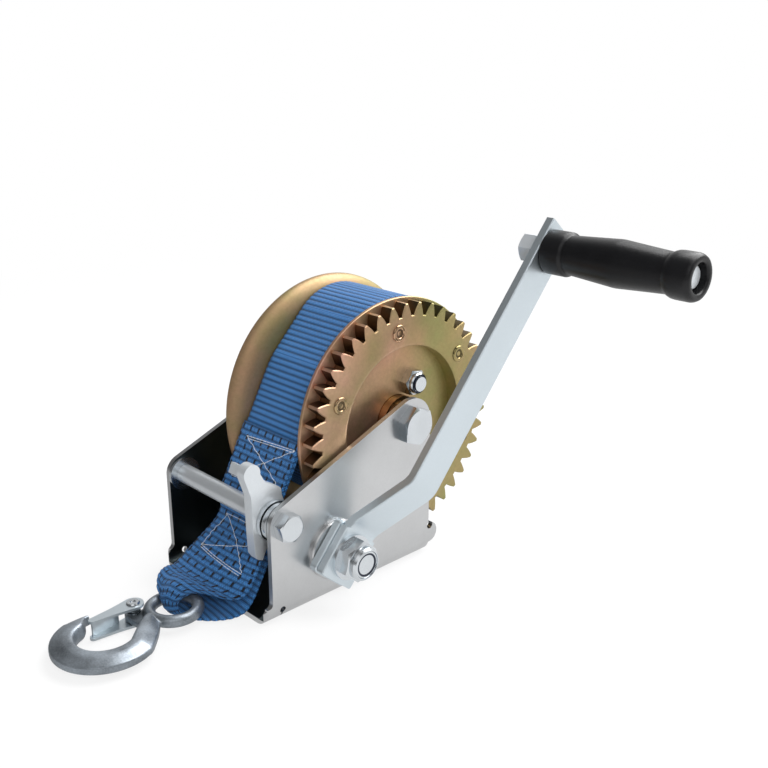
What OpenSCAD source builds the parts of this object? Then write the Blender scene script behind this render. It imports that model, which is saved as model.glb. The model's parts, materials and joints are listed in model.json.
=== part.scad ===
// Hand-cranked strap winch for a boat trailer.
// A folded sheet frame carries a geared drum of webbing, a pinion shaft with a crank,
// a tie rod with a pawl, and a webbing tail that ends in a snap hook.
// X runs across the frame towards the crank, Y towards the back, Z up.
// The origin is the middle of the four base holes, on the underside of the base.

/* [Frame] */
// Width over the two side plates
frame_w = 90; // [89.6:0.1:90.4]
// Thickness of the folded sheet
sheet_t = 3; // [2.8:0.1:3]
// Outer radius of the two folds
fold_r = 8; // [6:0.5:9]
// Distance from the front edge of the plates back to the origin
front_reach = 56; // [54:0.5:58]
// How far the base runs out in front of the plates
base_lip_front = 4.5; // [3:0.5:6]
// How far the round rear ears run out behind the plates
base_lip_rear = 6.5; // [5:0.5:8]
// Height of the top of the rear ears
rear_stub_h = 18; // [17:0.5:19]
// Radius of the plate around the drum axle
apex_r = 14; // [13:0.5:15]
// Radius of the front top corner of the plates
corner_r = 9.5; // [8:0.5:10]
// Spacing of the base holes across the frame
hole_span_x = 50; // [40:1:54]
// Spacing of the base holes along the frame
hole_span_y = 70; // [60:1:80]
// Diameter of the base holes
hole_d = 10.5; // [8.5:0.5:10.5]

/* [Gears] */
// Tooth module of the gear pair
tooth_module = 3; // [2.98:0.01:3.02]
// Teeth on the drum gear
gear_teeth = 41; // [41:1:41]
// Teeth on the pinion
pinion_teeth = 10; // [10:1:10]
// Pressure angle of the teeth
pressure_angle = 25; // [24:0.5:26]
// Play between the flanks of two meshed teeth
backlash = 0.4; // [0.3:0.05:0.6]
// Direction from the pinion to the drum axle, up from the horizontal
mesh_angle = 43.5; // [43:0.1:44]
// Angle at which one gear tooth points
gear_phase = 221.2; // [215:0.1:224]
// Width of the gear rim
gear_w = 8; // [7:0.5:8]
// Radius of the round hole in the gear
gear_hole_r = 41.2; // [38:0.2:44]

/* [Drum] */
// Distance of the drum axle behind the plates' front edge
axle_back = 95.4; // [95:0.1:96]
// Height of the drum axle above the floor
axle_h = 80.6; // [80:0.1:82]
// Clear width between the drum flanges
drum_gap = 47.5; // [46.5:0.5:48]
// Radius of the flange behind the gear
flange_r = 66; // [65:0.5:67]
// Radius of the flange with the rolled rim
rolled_flange_r = 69.4; // [68:0.2:69.6]
// Radius of the rolled rim's curve
rim_curve_r = 6.5; // [5:0.5:8]
// Thickness of the flanges
flange_t = 2; // [1.5:0.1:2]
// Distance of the strap anchor bolt from the axle
anchor_offset = 21.5; // [21:0.5:23]
// Direction of the strap anchor bolt from the axle
anchor_angle = 60; // [40:1:80]

/* [Strap] */
// Width of the webbing
strap_w = 46; // [44:0.5:46]
// Thickness of the webbing
strap_t = 1.7; // [1.4:0.1:1.8]
// Outer radius of the wound strap, below and in front of the axle
coil_r = 55.7; // [52:0.1:57]
// Radius of the winding's crest, where it lies over the anchor bolt
crest_r = 35; // [30:0.5:40]
// Distance of the crest's centre from the axle
crest_offset = 31.8; // [26:0.2:32]
// Direction of the crest's centre from the axle
crest_angle = 86.5; // [70:0.5:90]
// Gap between one wound turn and the next
turn_gap = 0.5; // [0.45:0.05:0.8]

/* [Crank] */
// Distance from the pinion axis to the grip axis
crank_r = 186.5; // [150:0.5:200]
// Direction of the crank arm, up from the horizontal
crank_angle = 48.8; // [46:0.2:52]
// Width of the crank bar
bar_w = 20.4; // [18:0.2:22]
// Width of the flat pad at the bar's hub end
pad_w = 24.6; // [23:0.2:26]
// Thickness of the crank bar
bar_t = 5; // [4:0.5:6]
// How far the bar steps outwards between hub and grip
bar_step = 21.8; // [18:0.2:26]

/* [Grip] */
// Length of the grip
grip_len = 86; // [80:1:100]
// Largest radius of the barrel
grip_r = 12.2; // [11.6:0.2:14]
// Radius of the two end collars
collar_r = 11.9; // [11.5:0.1:13]

/* [Hook] */
// Mean radius of the hook's bowl
bowl_r = 19.2; // [18.6:0.2:20]
// Width of the bowl's bar, seen from above
bowl_w = 11.8; // [11:0.2:12.4]
// Thickness of the bowl's bar at its inner side
bowl_t = 9.4; // [9:0.2:10]
// Mean radius of the hook's eye
eye_r = 12; // [11.5:0.1:12.5]
// Radius of the eye's bar
eye_bar_r = 3.2; // [2.8:0.1:3.3]

/* [Hidden] */
$fn = 96;

zinc = [0.76, 0.77, 0.79];
bright_zinc = [0.84, 0.88, 0.91];
gold_zinc = [0.74, 0.6, 0.43];
webbing_blue = [0.22, 0.42, 0.64];
forged_grey = [0.52, 0.56, 0.62];
black_plastic = [0.1, 0.1, 0.11];

// Radial play of a part that turns on another
run_fit = 0.05;
// Play of a part that is fixed on another
fixed_fit = 0.02;
half_w = frame_w / 2;
inner_x = half_w - sheet_t;
front_y = -front_reach;
axle_y = front_y + axle_back;
axle_z = axle_h;
rear_y = axle_y + apex_r;
base_front_y = front_y - base_lip_front;
base_rear_y = rear_y + base_lip_rear;
corner_y = front_y + corner_r;
corner_z = 52.2;
tie_y = front_y + 8.6;
tie_z = 51.7;
tie_r = 4;
tie_tube_r = 5;
tube_x0 = -inner_x + 2;
tube_x1 = inner_x;
pawl_x0 = 30.6;
pawl_x1 = 36.4;
axle_r = 6;
corner_to_apex = [axle_y - corner_y, axle_z - corner_z];
top_slope = atan2(corner_to_apex[1], corner_to_apex[0])
    + asin((apex_r - corner_r) / norm(corner_to_apex));

centre_dist = tooth_module * (gear_teeth + pinion_teeth) / 2;
pin_y = axle_y - centre_dist * cos(mesh_angle);
pin_z = axle_z - centre_dist * sin(mesh_angle);
pinion_phase = mesh_angle - (gear_phase - mesh_angle - 180) * gear_teeth / pinion_teeth
    + 180 / pinion_teeth;
gear_tip_r = tooth_module * gear_teeth / 2 + 2.9;
gear_root_r = tooth_module * gear_teeth / 2 - 3.75;
pinion_tip_r = tooth_module * pinion_teeth / 2 + 3;
pinion_root_r = tooth_module * pinion_teeth / 2 - 3.6;
flank_steps = 6;

gear_x1 = inner_x - 1.5;
gear_x0 = gear_x1 - gear_w;
flange_x0 = gear_x0 - flange_t;
drum_x0 = flange_x0 - drum_gap;
hub_bore_r = 8 + run_fit;
hub_tube_r = 13;
sleeve_r = 8;
rivet_count = 6;
rivet_circle_r = 50;
rivet_first_angle = 35.8;
rivet_r = 2.5;
anchor_y = axle_y + anchor_offset * cos(anchor_angle);
anchor_z = axle_z + anchor_offset * sin(anchor_angle);
anchor_r = 4;
anchor_sleeve_r = 6;

strap_x0 = drum_x0 + (drum_gap - strap_w) / 2;
strap_mid_x = strap_x0 + strap_w / 2;
turn_rise = strap_t + turn_gap;
turn_angle = 392;
turn_steps = 98;
core_gap = 0.35;
core_r = coil_r - strap_t - turn_rise * turn_angle / 360 - core_gap;
crest = crest_offset * [cos(crest_angle), sin(crest_angle)];
tie_run_gap = 8;
to_tie = [tie_y - axle_y, tie_z - axle_z];
run_r = coil_r - strap_t / 2;
leave_angle = 360 + atan2(to_tie[1], to_tie[0]) - acos((run_r + tie_run_gap) / norm(to_tie));

shaft_r = 6;
journal_r = 8;
flat_half = 6;
thread_r = 5.9;
bush_x1 = half_w + 2.2;
hub_x0 = bush_x1 + 0.2;
hub_t = 4.8;
pad_x0 = hub_x0 + hub_t;
pad_x1 = pad_x0 + bar_t;
arm_x0 = pad_x0 + bar_step;
arm_x1 = arm_x0 + bar_t;
pad_back = 14.5;
pad_front = 13.2;
step_start = 15.2;
step_end = 46;
bend_r = 7;
bar_end = crank_r + 14;
end_corner_r = 9;
bend_steps = 10;
grip_y = pin_y + crank_r * cos(crank_angle);
grip_z = pin_z + crank_r * sin(crank_angle);
grip_x0 = arm_x1 + 0.4;
grip_x1 = grip_x0 + grip_len;
grip_pin_r = 5;
recess_x = grip_x1 - 7.5;
recess_r = 7;

hook_x = 6;
hook_z = 6;
eye_y = front_y - 32;
bowl_x = hook_x + 2;
bowl_y = eye_y - 39;
rivet_x = hook_x - 10;
rivet_y = eye_y - 16.5;
latch_len = 22;
latch_pin_r = 2;
lug_z0 = 2.6;
lug_z1 = 6.1;
cheek_t = 1.4;
cheek_low_z = 1;
cheek_top_z = 10.2;
spring_wire_r = 0.35;
spring_r = 3.2;
spring_pitch = 1.15;
spring_turns = 2.25;

// Straight run of the tail from the winding to the tie rod, each [distance, step forward, thickness]
layer_step = 0.9;
doubled_t = 3.5;
straight_run = [
    [0.25, 0, strap_t], [27.6, 0, strap_t], [28, layer_step, doubled_t], [46, layer_step, doubled_t],
    [62, layer_step, doubled_t]
];
// Points of the doubled tail below the tie rod, each [y from the front edge, z, width]
hanging_run = [
    [14.9, 48.3, 46], [14.2, 44, 46], [12.9, 39.6, 46], [10.4, 35.2, 46], [6.8, 31, 46], [3.2, 27.2, 45],
    [-0.8, 23.2, 44]
];
// Points of the loop through the hook's eye, each [y from the front edge, z, width]
loop_route = [
    [0.3, 25.3, 44], [-6, 19.9, 42], [-11, 17, 36], [-15.5, 15.5, 27], [-20, 14.6, 16.5], [-24, 13.2, 13.5],
    [-27, 10.2, 12.5], [-27.9, 6.4, 12.5], [-27, 2.9, 12.5], [-24, 1.7, 13.5], [-20, 1.4, 16], [-15, 1.4, 24],
    [-10, 1.9, 33], [-5.5, 4.2, 39], [-2.6, 8.6, 42], [-0.6, 14, 43], [0.6, 19.2, 44], [1.5, 24.1, 44]
];

// Direction at an angle in a plane
function dir(a) = [cos(a), sin(a)];
// Involute function, in degrees
function involute(a) = tan(a) * 180 / PI - a;
// Half the angle that a tooth takes up at a radius
function half_tooth(n, r) = let(
    pitch_r = tooth_module * n / 2,
    a = acos(min(1, pitch_r * cos(pressure_angle) / r)))
    90 / n + involute(pressure_angle) - involute(a) - backlash / 4 / pitch_r * 180 / PI;
// One tooth, up one flank and down the other
function tooth(n, mid, r0, r1) = concat(
    [for (i = [0:flank_steps]) let(r = r0 + (r1 - r0) * i / flank_steps) r * dir(mid - half_tooth(n, r))],
    [for (i = [0:flank_steps]) let(r = r1 + (r0 - r1) * i / flank_steps) r * dir(mid + half_tooth(n, r))]);
function gear_points(n, phase, r0, r1) = [for (i = [0:n - 1]) each tooth(n, phase + 360 * i / n, r0, r1)];

// Angle of the wound turn at a sweep from its start; it ends where the tail leaves
function turn_at(sweep) = leave_angle - turn_angle + sweep;
// Point of the wound turn, on a circle round the axle or on the crest's circle, whichever reaches further
function turn_point(sweep, inset) = let(
    n = dir(turn_at(sweep)),
    t = turn_rise * (sweep - turn_angle) / 360 - inset)
    crest * n + crest_r > coil_r ? crest + (crest_r + t) * n : (coil_r + t) * n;
turn_sweeps = [for (i = [0:turn_steps]) turn_angle * i / turn_steps];
turn_inner = [for (s = turn_sweeps) turn_point(s, strap_t)];
turn_outer = [for (i = [turn_steps:-1:0]) turn_point(turn_sweeps[i], 0)];
turn_overlap = turn_angle - 360;
turn_self_gap = min([for (s = turn_sweeps) let(lap = s * turn_overlap / turn_angle)
    norm(turn_point(lap + 360, strap_t) - turn_point(lap, 0))]);
echo(strap_turn_least_gap_to_itself = turn_self_gap);

// Points of the whole tail, each [y from the front edge, z, width, thickness]
run_down = [-sin(leave_angle), cos(leave_angle)];
run_start = [axle_y - front_y, axle_z] + run_r * dir(leave_angle);
tail_route = concat(
    [for (q = straight_run) let(p = run_start + q[0] * run_down + q[1] * dir(leave_angle))
        [p[0], p[1], strap_w, q[2]]],
    [for (q = hanging_run) [q[0], q[1], q[2], doubled_t]]);

// Direction of a route at one of its points
function heading(p, i) = let(a = p[max(i - 1, 0)], b = p[min(i + 1, len(p) - 1)],
    d = [b[0] - a[0], b[1] - a[1]]) d / norm(d);
// Four corners of a band's section at a point of its route
function band_section(p, i, t) = let(h = heading(p, i), n = [-h[1], h[0]] * t / 2, w = p[i][2] / 2)
    [for (c = [[-w, -1], [w, -1], [w, 1], [-w, 1]])
        [strap_mid_x + c[0], front_y + p[i][0] + c[1] * n[0], p[i][1] + c[1] * n[1]]];
// Triangles that join the sections of a tube with k sides and m sections, and close its ends
function tube_faces(k, m) = concat(
    [for (j = [0:m - 2]) for (i = [0:k - 1]) each
        [[j * k + i, j * k + (i + 1) % k, (j + 1) * k + i],
         [j * k + (i + 1) % k, (j + 1) * k + (i + 1) % k, (j + 1) * k + i]]],
    [for (i = [1:k - 2]) [0, i + 1, i]],
    [for (i = [1:k - 2]) [(m - 1) * k, (m - 1) * k + i, (m - 1) * k + i + 1]]);

// Centre line of the latch spring, a helix round the rivet
spring_ring_steps = 8;
spring_rings = spring_turns * spring_ring_steps;
spring_sides = 6;
spring_points = [for (i = [0:spring_rings]) let(a = 360 * i / spring_ring_steps)
    [spring_r * cos(a), spring_r * sin(a), spring_pitch * i / spring_ring_steps]];
spring_self_gap = spring_pitch - 2 * spring_wire_r;
echo(latch_spring_least_gap_to_itself = spring_self_gap);
spring_sections = [for (i = [0:spring_rings]) for (j = [0:spring_sides - 1])
    let(a = 360 * i / spring_ring_steps, b = 360 * j / spring_sides)
    spring_points[i] + spring_wire_r * [cos(a) * cos(b), sin(a) * cos(b), sin(b)]];

// Round bar along X
module rod_x(x0, x1, y, z, r) {
    translate([x0, y, z]) rotate([0, 90, 0]) cylinder(h = x1 - x0, r = r);
}

// Round tube along X
module tube_x(x0, x1, y, z, r_out, r_in) {
    difference() {
        rod_x(x0, x1, y, z, r_out);
        rod_x(x0 - 1, x1 + 1, y, z, r_in);
    }
}

// Turned piece about an axis along X, from points [radius, x]
module turned_x(y, z, points) {
    translate([0, y, z]) rotate([0, 90, 0]) rotate_extrude() polygon(points);
}

// Flat piece drawn in Y and Z, from x0 to x1
module plate_x(x0, x1) {
    translate([x0, 0, 0]) rotate([90, 0, 90]) linear_extrude(x1 - x0) children();
}

// Hexagon along X with a cone-shaped chamfer on the end at x1
module hex_x(x0, x1, y, z, flats, turn = 0) {
    s = sign(x1 - x0);
    wide = flats / sqrt(3) + 1;
    face_r = flats * 0.475;
    chamfer_slope = 0.5;
    start = s > 0 ? x0 : x1 - 1;
    intersection() {
        translate([start, y, z]) rotate([turn, 0, 0]) rotate([0, 90, 0])
            cylinder(h = abs(x1 - x0) + 1, r = flats / sqrt(3), $fn = 6);
        turned_x(y, z, [[0, x0 - s], [wide, x0 - s], [wide, x1 - s * (wide - face_r) * chamfer_slope],
            [face_r, x1], [0, x1]]);
    }
}

// Locking nut along X: hexagon, then a round collar that holds the lock ring
module lock_nut_x(x0, x1, y, z, flats, bore_r, turn = 0) {
    s = sign(x1 - x0);
    hex_end = x0 + (x1 - x0) * 0.66;
    collar = flats * 0.455;
    difference() {
        union() {
            hex_x(x0, hex_end, y, z, flats, turn);
            turned_x(y, z, [[0, hex_end - s * 0.5], [collar, hex_end - s * 0.5], [collar, x1 - s],
                [collar - 1, x1], [0, x1]]);
        }
        rod_x(min(x0, x1) - 1, max(x0, x1) + 1, y, z, bore_r);
        turned_x(y, z, [[0, x1 - s * 1.2], [bore_r + 1.1, x1 - s * 1.2], [bore_r + 1.5, x1 + s],
            [0, x1 + s]]);
    }
}

// Outline of a side plate, in Y and Z
module plate_outline() {
    translate([axle_y, axle_z]) circle(r = apex_r);
    translate([corner_y, corner_z]) circle(r = corner_r);
    polygon([[front_y, 0], [rear_y, 0], [rear_y, axle_z],
        [axle_y, axle_z] + apex_r * dir(90 + top_slope),
        [corner_y, corner_z] + corner_r * dir(90 + top_slope),
        [front_y, corner_z]]);
}

// Outline of the base seen from the side, with a stub in front of each plate and a round ear behind it
module base_outline() {
    ear_r = 6;
    front_r = 4;
    front_h = fold_r + 1;
    hollow_r = 3;
    translate([base_front_y, 0]) square([rear_y - base_front_y, front_h - front_r]);
    translate([base_front_y + front_r, 0]) square([rear_y - base_front_y - front_r, front_h]);
    translate([base_front_y + front_r, front_h - front_r]) circle(r = front_r);
    difference() {
        translate([front_y - hollow_r, front_h - 1]) square([hollow_r + 1, hollow_r + 1]);
        translate([front_y - hollow_r, front_h + hollow_r]) circle(r = hollow_r);
    }
    hull() for (y = [rear_y - ear_r, base_rear_y - ear_r]) translate([y, rear_stub_h - ear_r]) circle(r = ear_r);
}

// Plan of the frame, with round corners where the base runs out in front of the plates
module plan_outline() {
    front_r = base_lip_front - 0.1;
    hull() {
        for (s = [-1, 1]) translate([s * (half_w - front_r), base_front_y + front_r]) circle(r = front_r);
        translate([-half_w, 0]) square([2 * half_w, base_rear_y]);
    }
}

// Channel section: one sheet thickness, with round folds at the bottom
module channel_section() {
    high = axle_z + apex_r + 1;
    module trough(half, low, r) {
        translate([-half, low + r]) square([2 * half, high - low - r]);
        translate([-half + r, low]) square([2 * half - 2 * r, high - low]);
        for (s = [-1, 1]) translate([s * (half - r), low + r]) circle(r = r);
    }
    difference() {
        trough(half_w, 0, fold_r);
        translate([0, 0.001]) trough(inner_x, sheet_t, fold_r - sheet_t);
    }
}

module frame() {
    notch_r = 2.2;
    relief_r = 1.7;
    relief_y = front_y + 6;
    relief_z = fold_r - 1.6;
    slit_w = 1.2;
    color(zinc) difference() {
        intersection() {
            translate([0, base_rear_y, 0]) rotate([90, 0, 0])
                linear_extrude(base_rear_y - base_front_y) channel_section();
            plate_x(-half_w, half_w) {
                plate_outline();
                base_outline();
            }
            translate([0, 0, -1]) linear_extrude(axle_z + apex_r + 2) plan_outline();
        }
        rod_x(-half_w - 1, half_w + 1, rear_y + 1, rear_stub_h - 1.6, notch_r);
        rod_x(-half_w - 1, half_w + 1, relief_y, relief_z, relief_r);
        for (s = [-1, 1]) translate([s * half_w - fold_r / 2, relief_y - slit_w / 2, -1])
            cube([fold_r, slit_w, relief_z + 1]);
        rod_x(-half_w - 1, half_w + 1, tie_y, tie_z, tie_r + 0.2);
        rod_x(-half_w - 1, half_w + 1, axle_y, axle_z, axle_r + 0.2);
        rod_x(0, half_w + 1, pin_y, pin_z, 10 + fixed_fit);
        rod_x(-half_w - 1, 0, pin_y, pin_z, 8.5 + fixed_fit);
        for (sx = [-1, 1]) for (sy = [-1, 1])
            translate([sx * hole_span_x / 2, sy * hole_span_y / 2, -1]) cylinder(h = sheet_t + 2, d = hole_d);
    }
}

module tie_bolt() {
    head_h = 6.4;
    color(bright_zinc) {
        hex_x(half_w, half_w + head_h, tie_y, tie_z, 13, 12);
        rod_x(-half_w - 1.4, half_w + 0.5, tie_y, tie_z, tie_r);
    }
}

// Low round nut on the far end of the tie bolt
module tie_nut() {
    nut_r = 5.6;
    nut_h = 1.8;
    color(bright_zinc) turned_x(tie_y, tie_z, [
        [tie_r + fixed_fit, -half_w], [nut_r, -half_w], [nut_r, -half_w - nut_h + 0.6],
        [nut_r - 0.6, -half_w - nut_h], [tie_r + fixed_fit, -half_w - nut_h]]);
}

module tie_spacer_tube() {
    color(bright_zinc) tube_x(tube_x0, tube_x1, tie_y, tie_z, tie_tube_r, tie_r + 0.1);
}

module tie_washers() {
    color(bright_zinc) {
        tube_x(-inner_x, tube_x0, tie_y, tie_z, 9, tie_r + 0.1);
        tube_x(pawl_x1 + 0.3, pawl_x1 + 2.5, tie_y, tie_z, 10.4, tie_tube_r + fixed_fit);
        tube_x(pawl_x1 + 3.2, inner_x, tie_y, tie_z, 9.8, tie_tube_r + fixed_fit);
    }
}

// Pawl: thumb lobe on top, an ear at the back, a boss round the rod and a nose hanging down
module pawl() {
    lobe = [tie_y - 11.4, tie_z + 27.2];
    lobe_r = 4.8;
    tab_reach = 7;
    color(bright_zinc) difference() {
        union() {
            plate_x(pawl_x0, pawl_x1) {
                translate([tie_y, tie_z]) circle(r = 10.4);
                translate(lobe) circle(r = lobe_r);
                translate([tie_y, tie_z]) polygon([[-15.8, 25.2], [-12.6, 15.5], [-12.3, -2],
                    [-11.8, -15.4], [-10, -18.4], [-7.4, -19.4], [-3.6, -12], [0, -9], [8, 4], [5.6, 12],
                    [5.4, 15], [4, 16.4], [-4.4, 21.6], [-6.7, 26.2]]);
            }
            plate_x(pawl_x0 - tab_reach, pawl_x0 + 0.5) translate(lobe)
                polygon([[-4.6, -1.2], [-2.4, 3.6], [-0.4, 2.7], [-2.6, -2.1]]);
        }
        rod_x(pawl_x0 - 10, pawl_x1 + 1, tie_y, tie_z, tie_tube_r + run_fit);
    }
}

module axle_bolt() {
    head_h = 6;
    color(bright_zinc) {
        hex_x(half_w, half_w + head_h, axle_y, axle_z, 19, 8);
        rod_x(-half_w - 12, half_w + 0.5, axle_y, axle_z, axle_r);
    }
}

module axle_nut() {
    color(bright_zinc) lock_nut_x(-half_w, -half_w - 11.5, axle_y, axle_z, 19, axle_r + fixed_fit, 10);
}

module axle_sleeve() {
    color(zinc) tube_x(-inner_x, inner_x, axle_y, axle_z, sleeve_r, axle_r + 0.1);
}

module axle_spacer() {
    color(zinc) tube_x(-inner_x, drum_x0 - flange_t - 0.4, axle_y, axle_z, 12, sleeve_r + fixed_fit);
}

module drum_hub_tube() {
    step_x = gear_x0 + 3.5;
    color(gold_zinc) turned_x(axle_y, axle_z, [
        [hub_bore_r, drum_x0 - flange_t], [hub_tube_r, drum_x0 - flange_t], [hub_tube_r, step_x],
        [hub_tube_r + 0.4, step_x], [hub_tube_r + 0.4, step_x + 1.5], [10.5, step_x + 1.5],
        [10.5, inner_x - 0.4], [hub_bore_r, inner_x - 0.4]]);
}

// Flange whose rim rolls away from the strap
module rolled_flange() {
    curve_r = rolled_flange_r - rim_curve_r;
    inner_curve = rim_curve_r - flange_t;
    lip = 1.5;
    centre_x = drum_x0 - rim_curve_r;
    rim_steps = 12;
    face = [for (i = [0:rim_steps]) let(a = 90 - 90 * i / rim_steps)
        [curve_r + rim_curve_r * cos(a), centre_x + rim_curve_r * sin(a)]];
    back = [for (i = [rim_steps:-1:0]) let(a = 90 - 90 * i / rim_steps)
        [curve_r + inner_curve * cos(a), centre_x + inner_curve * sin(a)]];
    color(gold_zinc) difference() {
        turned_x(axle_y, axle_z, concat(
            [[hub_tube_r + fixed_fit, drum_x0]], face,
            [[rolled_flange_r, centre_x - lip], [rolled_flange_r - flange_t, centre_x - lip]], back,
            [[hub_tube_r + fixed_fit, drum_x0 - flange_t]]));
        rod_x(drum_x0 - 10, drum_x0 + 1, anchor_y, anchor_z, anchor_r + fixed_fit);
    }
}

// Six places round the gear for its rivets
module at_rivets() {
    for (i = [0:rivet_count - 1]) {
        p = rivet_circle_r * dir(rivet_first_angle + 360 * i / rivet_count);
        translate([0, axle_y + p[0], axle_z + p[1]]) children();
    }
}

module gear_flange() {
    color(gold_zinc) difference() {
        tube_x(flange_x0, gear_x0, axle_y, axle_z, flange_r, hub_tube_r + fixed_fit);
        rod_x(flange_x0 - 1, gear_x0 + 1, anchor_y, anchor_z, anchor_r + fixed_fit);
        at_rivets() rod_x(flange_x0 - 1, gear_x0 + 1, 0, 0, rivet_r + fixed_fit);
    }
}

module gear_ring() {
    color(gold_zinc) difference() {
        plate_x(gear_x0, gear_x1) translate([axle_y, axle_z])
            polygon(gear_points(gear_teeth, gear_phase, gear_root_r, gear_tip_r));
        rod_x(gear_x0 - 1, gear_x1 + 1, axle_y, axle_z, gear_hole_r);
        at_rivets() rod_x(gear_x0 - 1, gear_x1 + 1, 0, 0, rivet_r + fixed_fit);
    }
}

// Tubular rivets with a rolled head
module gear_rivets() {
    head_r = 4.6;
    head_h = 0.9;
    color(gold_zinc) at_rivets() turned_x(0, 0, [
        [0, flange_x0], [rivet_r, flange_x0], [rivet_r, gear_x1], [head_r, gear_x1],
        [head_r, gear_x1 + head_h * 0.4], [head_r - 0.9, gear_x1 + head_h], [2.4, gear_x1 + head_h],
        [1.9, gear_x1 + 0.2], [0, gear_x1 + 0.2]]);
}

module anchor_bolt() {
    head_x = drum_x0 - flange_t;
    color(bright_zinc) {
        hex_x(head_x, head_x - 5.3, anchor_y, anchor_z, 13);
        rod_x(head_x - 0.5, gear_x1 + 0.6, anchor_y, anchor_z, anchor_r);
    }
}

module anchor_nut() {
    color(bright_zinc) lock_nut_x(gear_x0, gear_x1 - 0.2, anchor_y, anchor_z, 13, anchor_r + fixed_fit, 20);
}

module anchor_sleeve() {
    color(zinc) tube_x(drum_x0, flange_x0, anchor_y, anchor_z, anchor_sleeve_r, anchor_r + 0.1);
}

// Inner turns of the strap, packed round the hub tube and the anchor sleeve
module strap_core() {
    color(webbing_blue) difference() {
        tube_x(strap_x0, strap_x0 + strap_w, axle_y, axle_z, core_r, hub_tube_r + fixed_fit);
        rod_x(strap_x0 - 1, strap_x0 + strap_w + 1, anchor_y, anchor_z, anchor_sleeve_r + fixed_fit);
    }
}

// Last turn of the strap: one band that spirals out over the anchor bolt to where the tail leaves
module strap_outer_turn() {
    color(webbing_blue) plate_x(strap_x0, strap_x0 + strap_w) translate([axle_y, axle_z])
        polygon(concat(turn_inner, turn_outer));
}

// Free end of the strap: down behind the tie rod, then a sewn loop through the hook's eye
module strap_tail() {
    color(webbing_blue) {
        polyhedron([for (i = [0:len(tail_route) - 1]) each band_section(tail_route, i, tail_route[i][3])],
            tube_faces(4, len(tail_route)));
        polyhedron([for (i = [0:len(loop_route) - 1]) each band_section(loop_route, i, strap_t)],
            tube_faces(4, len(loop_route)));
    }
}

// Round bar with two flats that turn with the crank
module flatted_bar(x0, x1, r, half) {
    intersection() {
        rod_x(x0, x1, pin_y, pin_z, r);
        translate([0, pin_y, pin_z]) rotate([crank_angle, 0, 0])
            translate([x0 - 1, -2 * r, -half]) cube([x1 - x0 + 2, 4 * r, 2 * half]);
    }
}

module pinion_shaft() {
    pinion_x0 = gear_x0 + 0.4;
    pinion_x1 = inner_x - 0.6;
    end_x = pad_x1 + 12;
    color(bright_zinc) {
        plate_x(pinion_x0, pinion_x1) translate([pin_y, pin_z])
            polygon(gear_points(pinion_teeth, pinion_phase, pinion_root_r, pinion_tip_r));
        rod_x(-half_w - 4, pinion_x0 + 1, pin_y, pin_z, shaft_r);
        rod_x(pinion_x1 - 1, hub_x0, pin_y, pin_z, journal_r);
        flatted_bar(hub_x0 - 0.5, pad_x1 - 0.4, journal_r, flat_half);
        rod_x(pad_x1 - 1, end_x, pin_y, pin_z, thread_r);
    }
}

module pinion_bush_right() {
    color(zinc) turned_x(pin_y, pin_z, [
        [journal_r + run_fit, inner_x], [10, inner_x], [10, half_w], [16, half_w],
        [16, bush_x1 - 0.6], [15.4, bush_x1], [journal_r + run_fit, bush_x1]]);
}

module pinion_bush_left() {
    color(zinc) turned_x(pin_y, pin_z, [
        [shaft_r + run_fit, -half_w], [8.5, -half_w], [8.5, -inner_x], [12, -inner_x],
        [12, -inner_x + 2], [shaft_r + run_fit, -inner_x + 2]]);
}

// Open clip that keeps the shaft from sliding out
module shaft_clip() {
    color(bright_zinc) difference() {
        tube_x(-half_w - 1.6, -half_w - 0.4, pin_y, pin_z, 9.5, shaft_r + fixed_fit);
        translate([-half_w - 2, pin_y - 3, pin_z - 12]) cube([2, 6, 12]);
    }
}

// Places a piece drawn along the crank arm: its X runs along the arm, its Z along the shaft
module on_crank() {
    translate([0, pin_y, pin_z]) rotate([90, 0, 90]) rotate([0, 0, crank_angle]) children();
}

// Rectangle with round corners, seen along the shaft
module round_rect(u0, u1, half, r) {
    translate([u0 + r, -half]) square([u1 - u0 - 2 * r, 2 * half]);
    translate([u0, -half + r]) square([u1 - u0, 2 * half - 2 * r]);
    for (u = [u0 + r, u1 - r]) for (v = [-half + r, half - r]) translate([u, v]) circle(r = r);
}

module crank_hub_plate() {
    color(bright_zinc) difference() {
        on_crank() translate([0, 0, hub_x0]) linear_extrude(hub_t)
            round_rect(-pad_back - 0.5, pad_front + 0.7, pad_w / 2 + 0.6, 3);
        flatted_bar(hub_x0 - 1, pad_x0 + 1, journal_r + fixed_fit, flat_half + fixed_fit);
    }
}

// Middle line of the crank bar, each point [along, x, heading], with two equal bends
step_angle = atan2(bar_step, step_end - step_start);
bend_back = bend_r * tan(step_angle / 2);
bend_mid_x = pad_x0 + bar_t / 2;
arm_mid_x = arm_x0 + bar_t / 2;
bar_line = concat(
    [[-pad_back - 1, bend_mid_x, 0]],
    [for (i = [0:bend_steps]) let(a = step_angle * i / bend_steps)
        [step_start - bend_back + bend_r * sin(a), bend_mid_x + bend_r * (1 - cos(a)), a]],
    [for (i = [bend_steps:-1:0]) let(a = step_angle * i / bend_steps)
        [step_end + bend_back - bend_r * sin(a), arm_mid_x - bend_r * (1 - cos(a)), a]],
    [[bar_end + 1, arm_mid_x, 0]]);
function bar_edge(side) = [for (p = bar_line) [p[0] - side * bar_t / 2 * sin(p[2]),
    p[1] + side * bar_t / 2 * cos(p[2])]];
function reversed(list) = [for (i = [len(list) - 1:-1:0]) list[i]];

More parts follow.
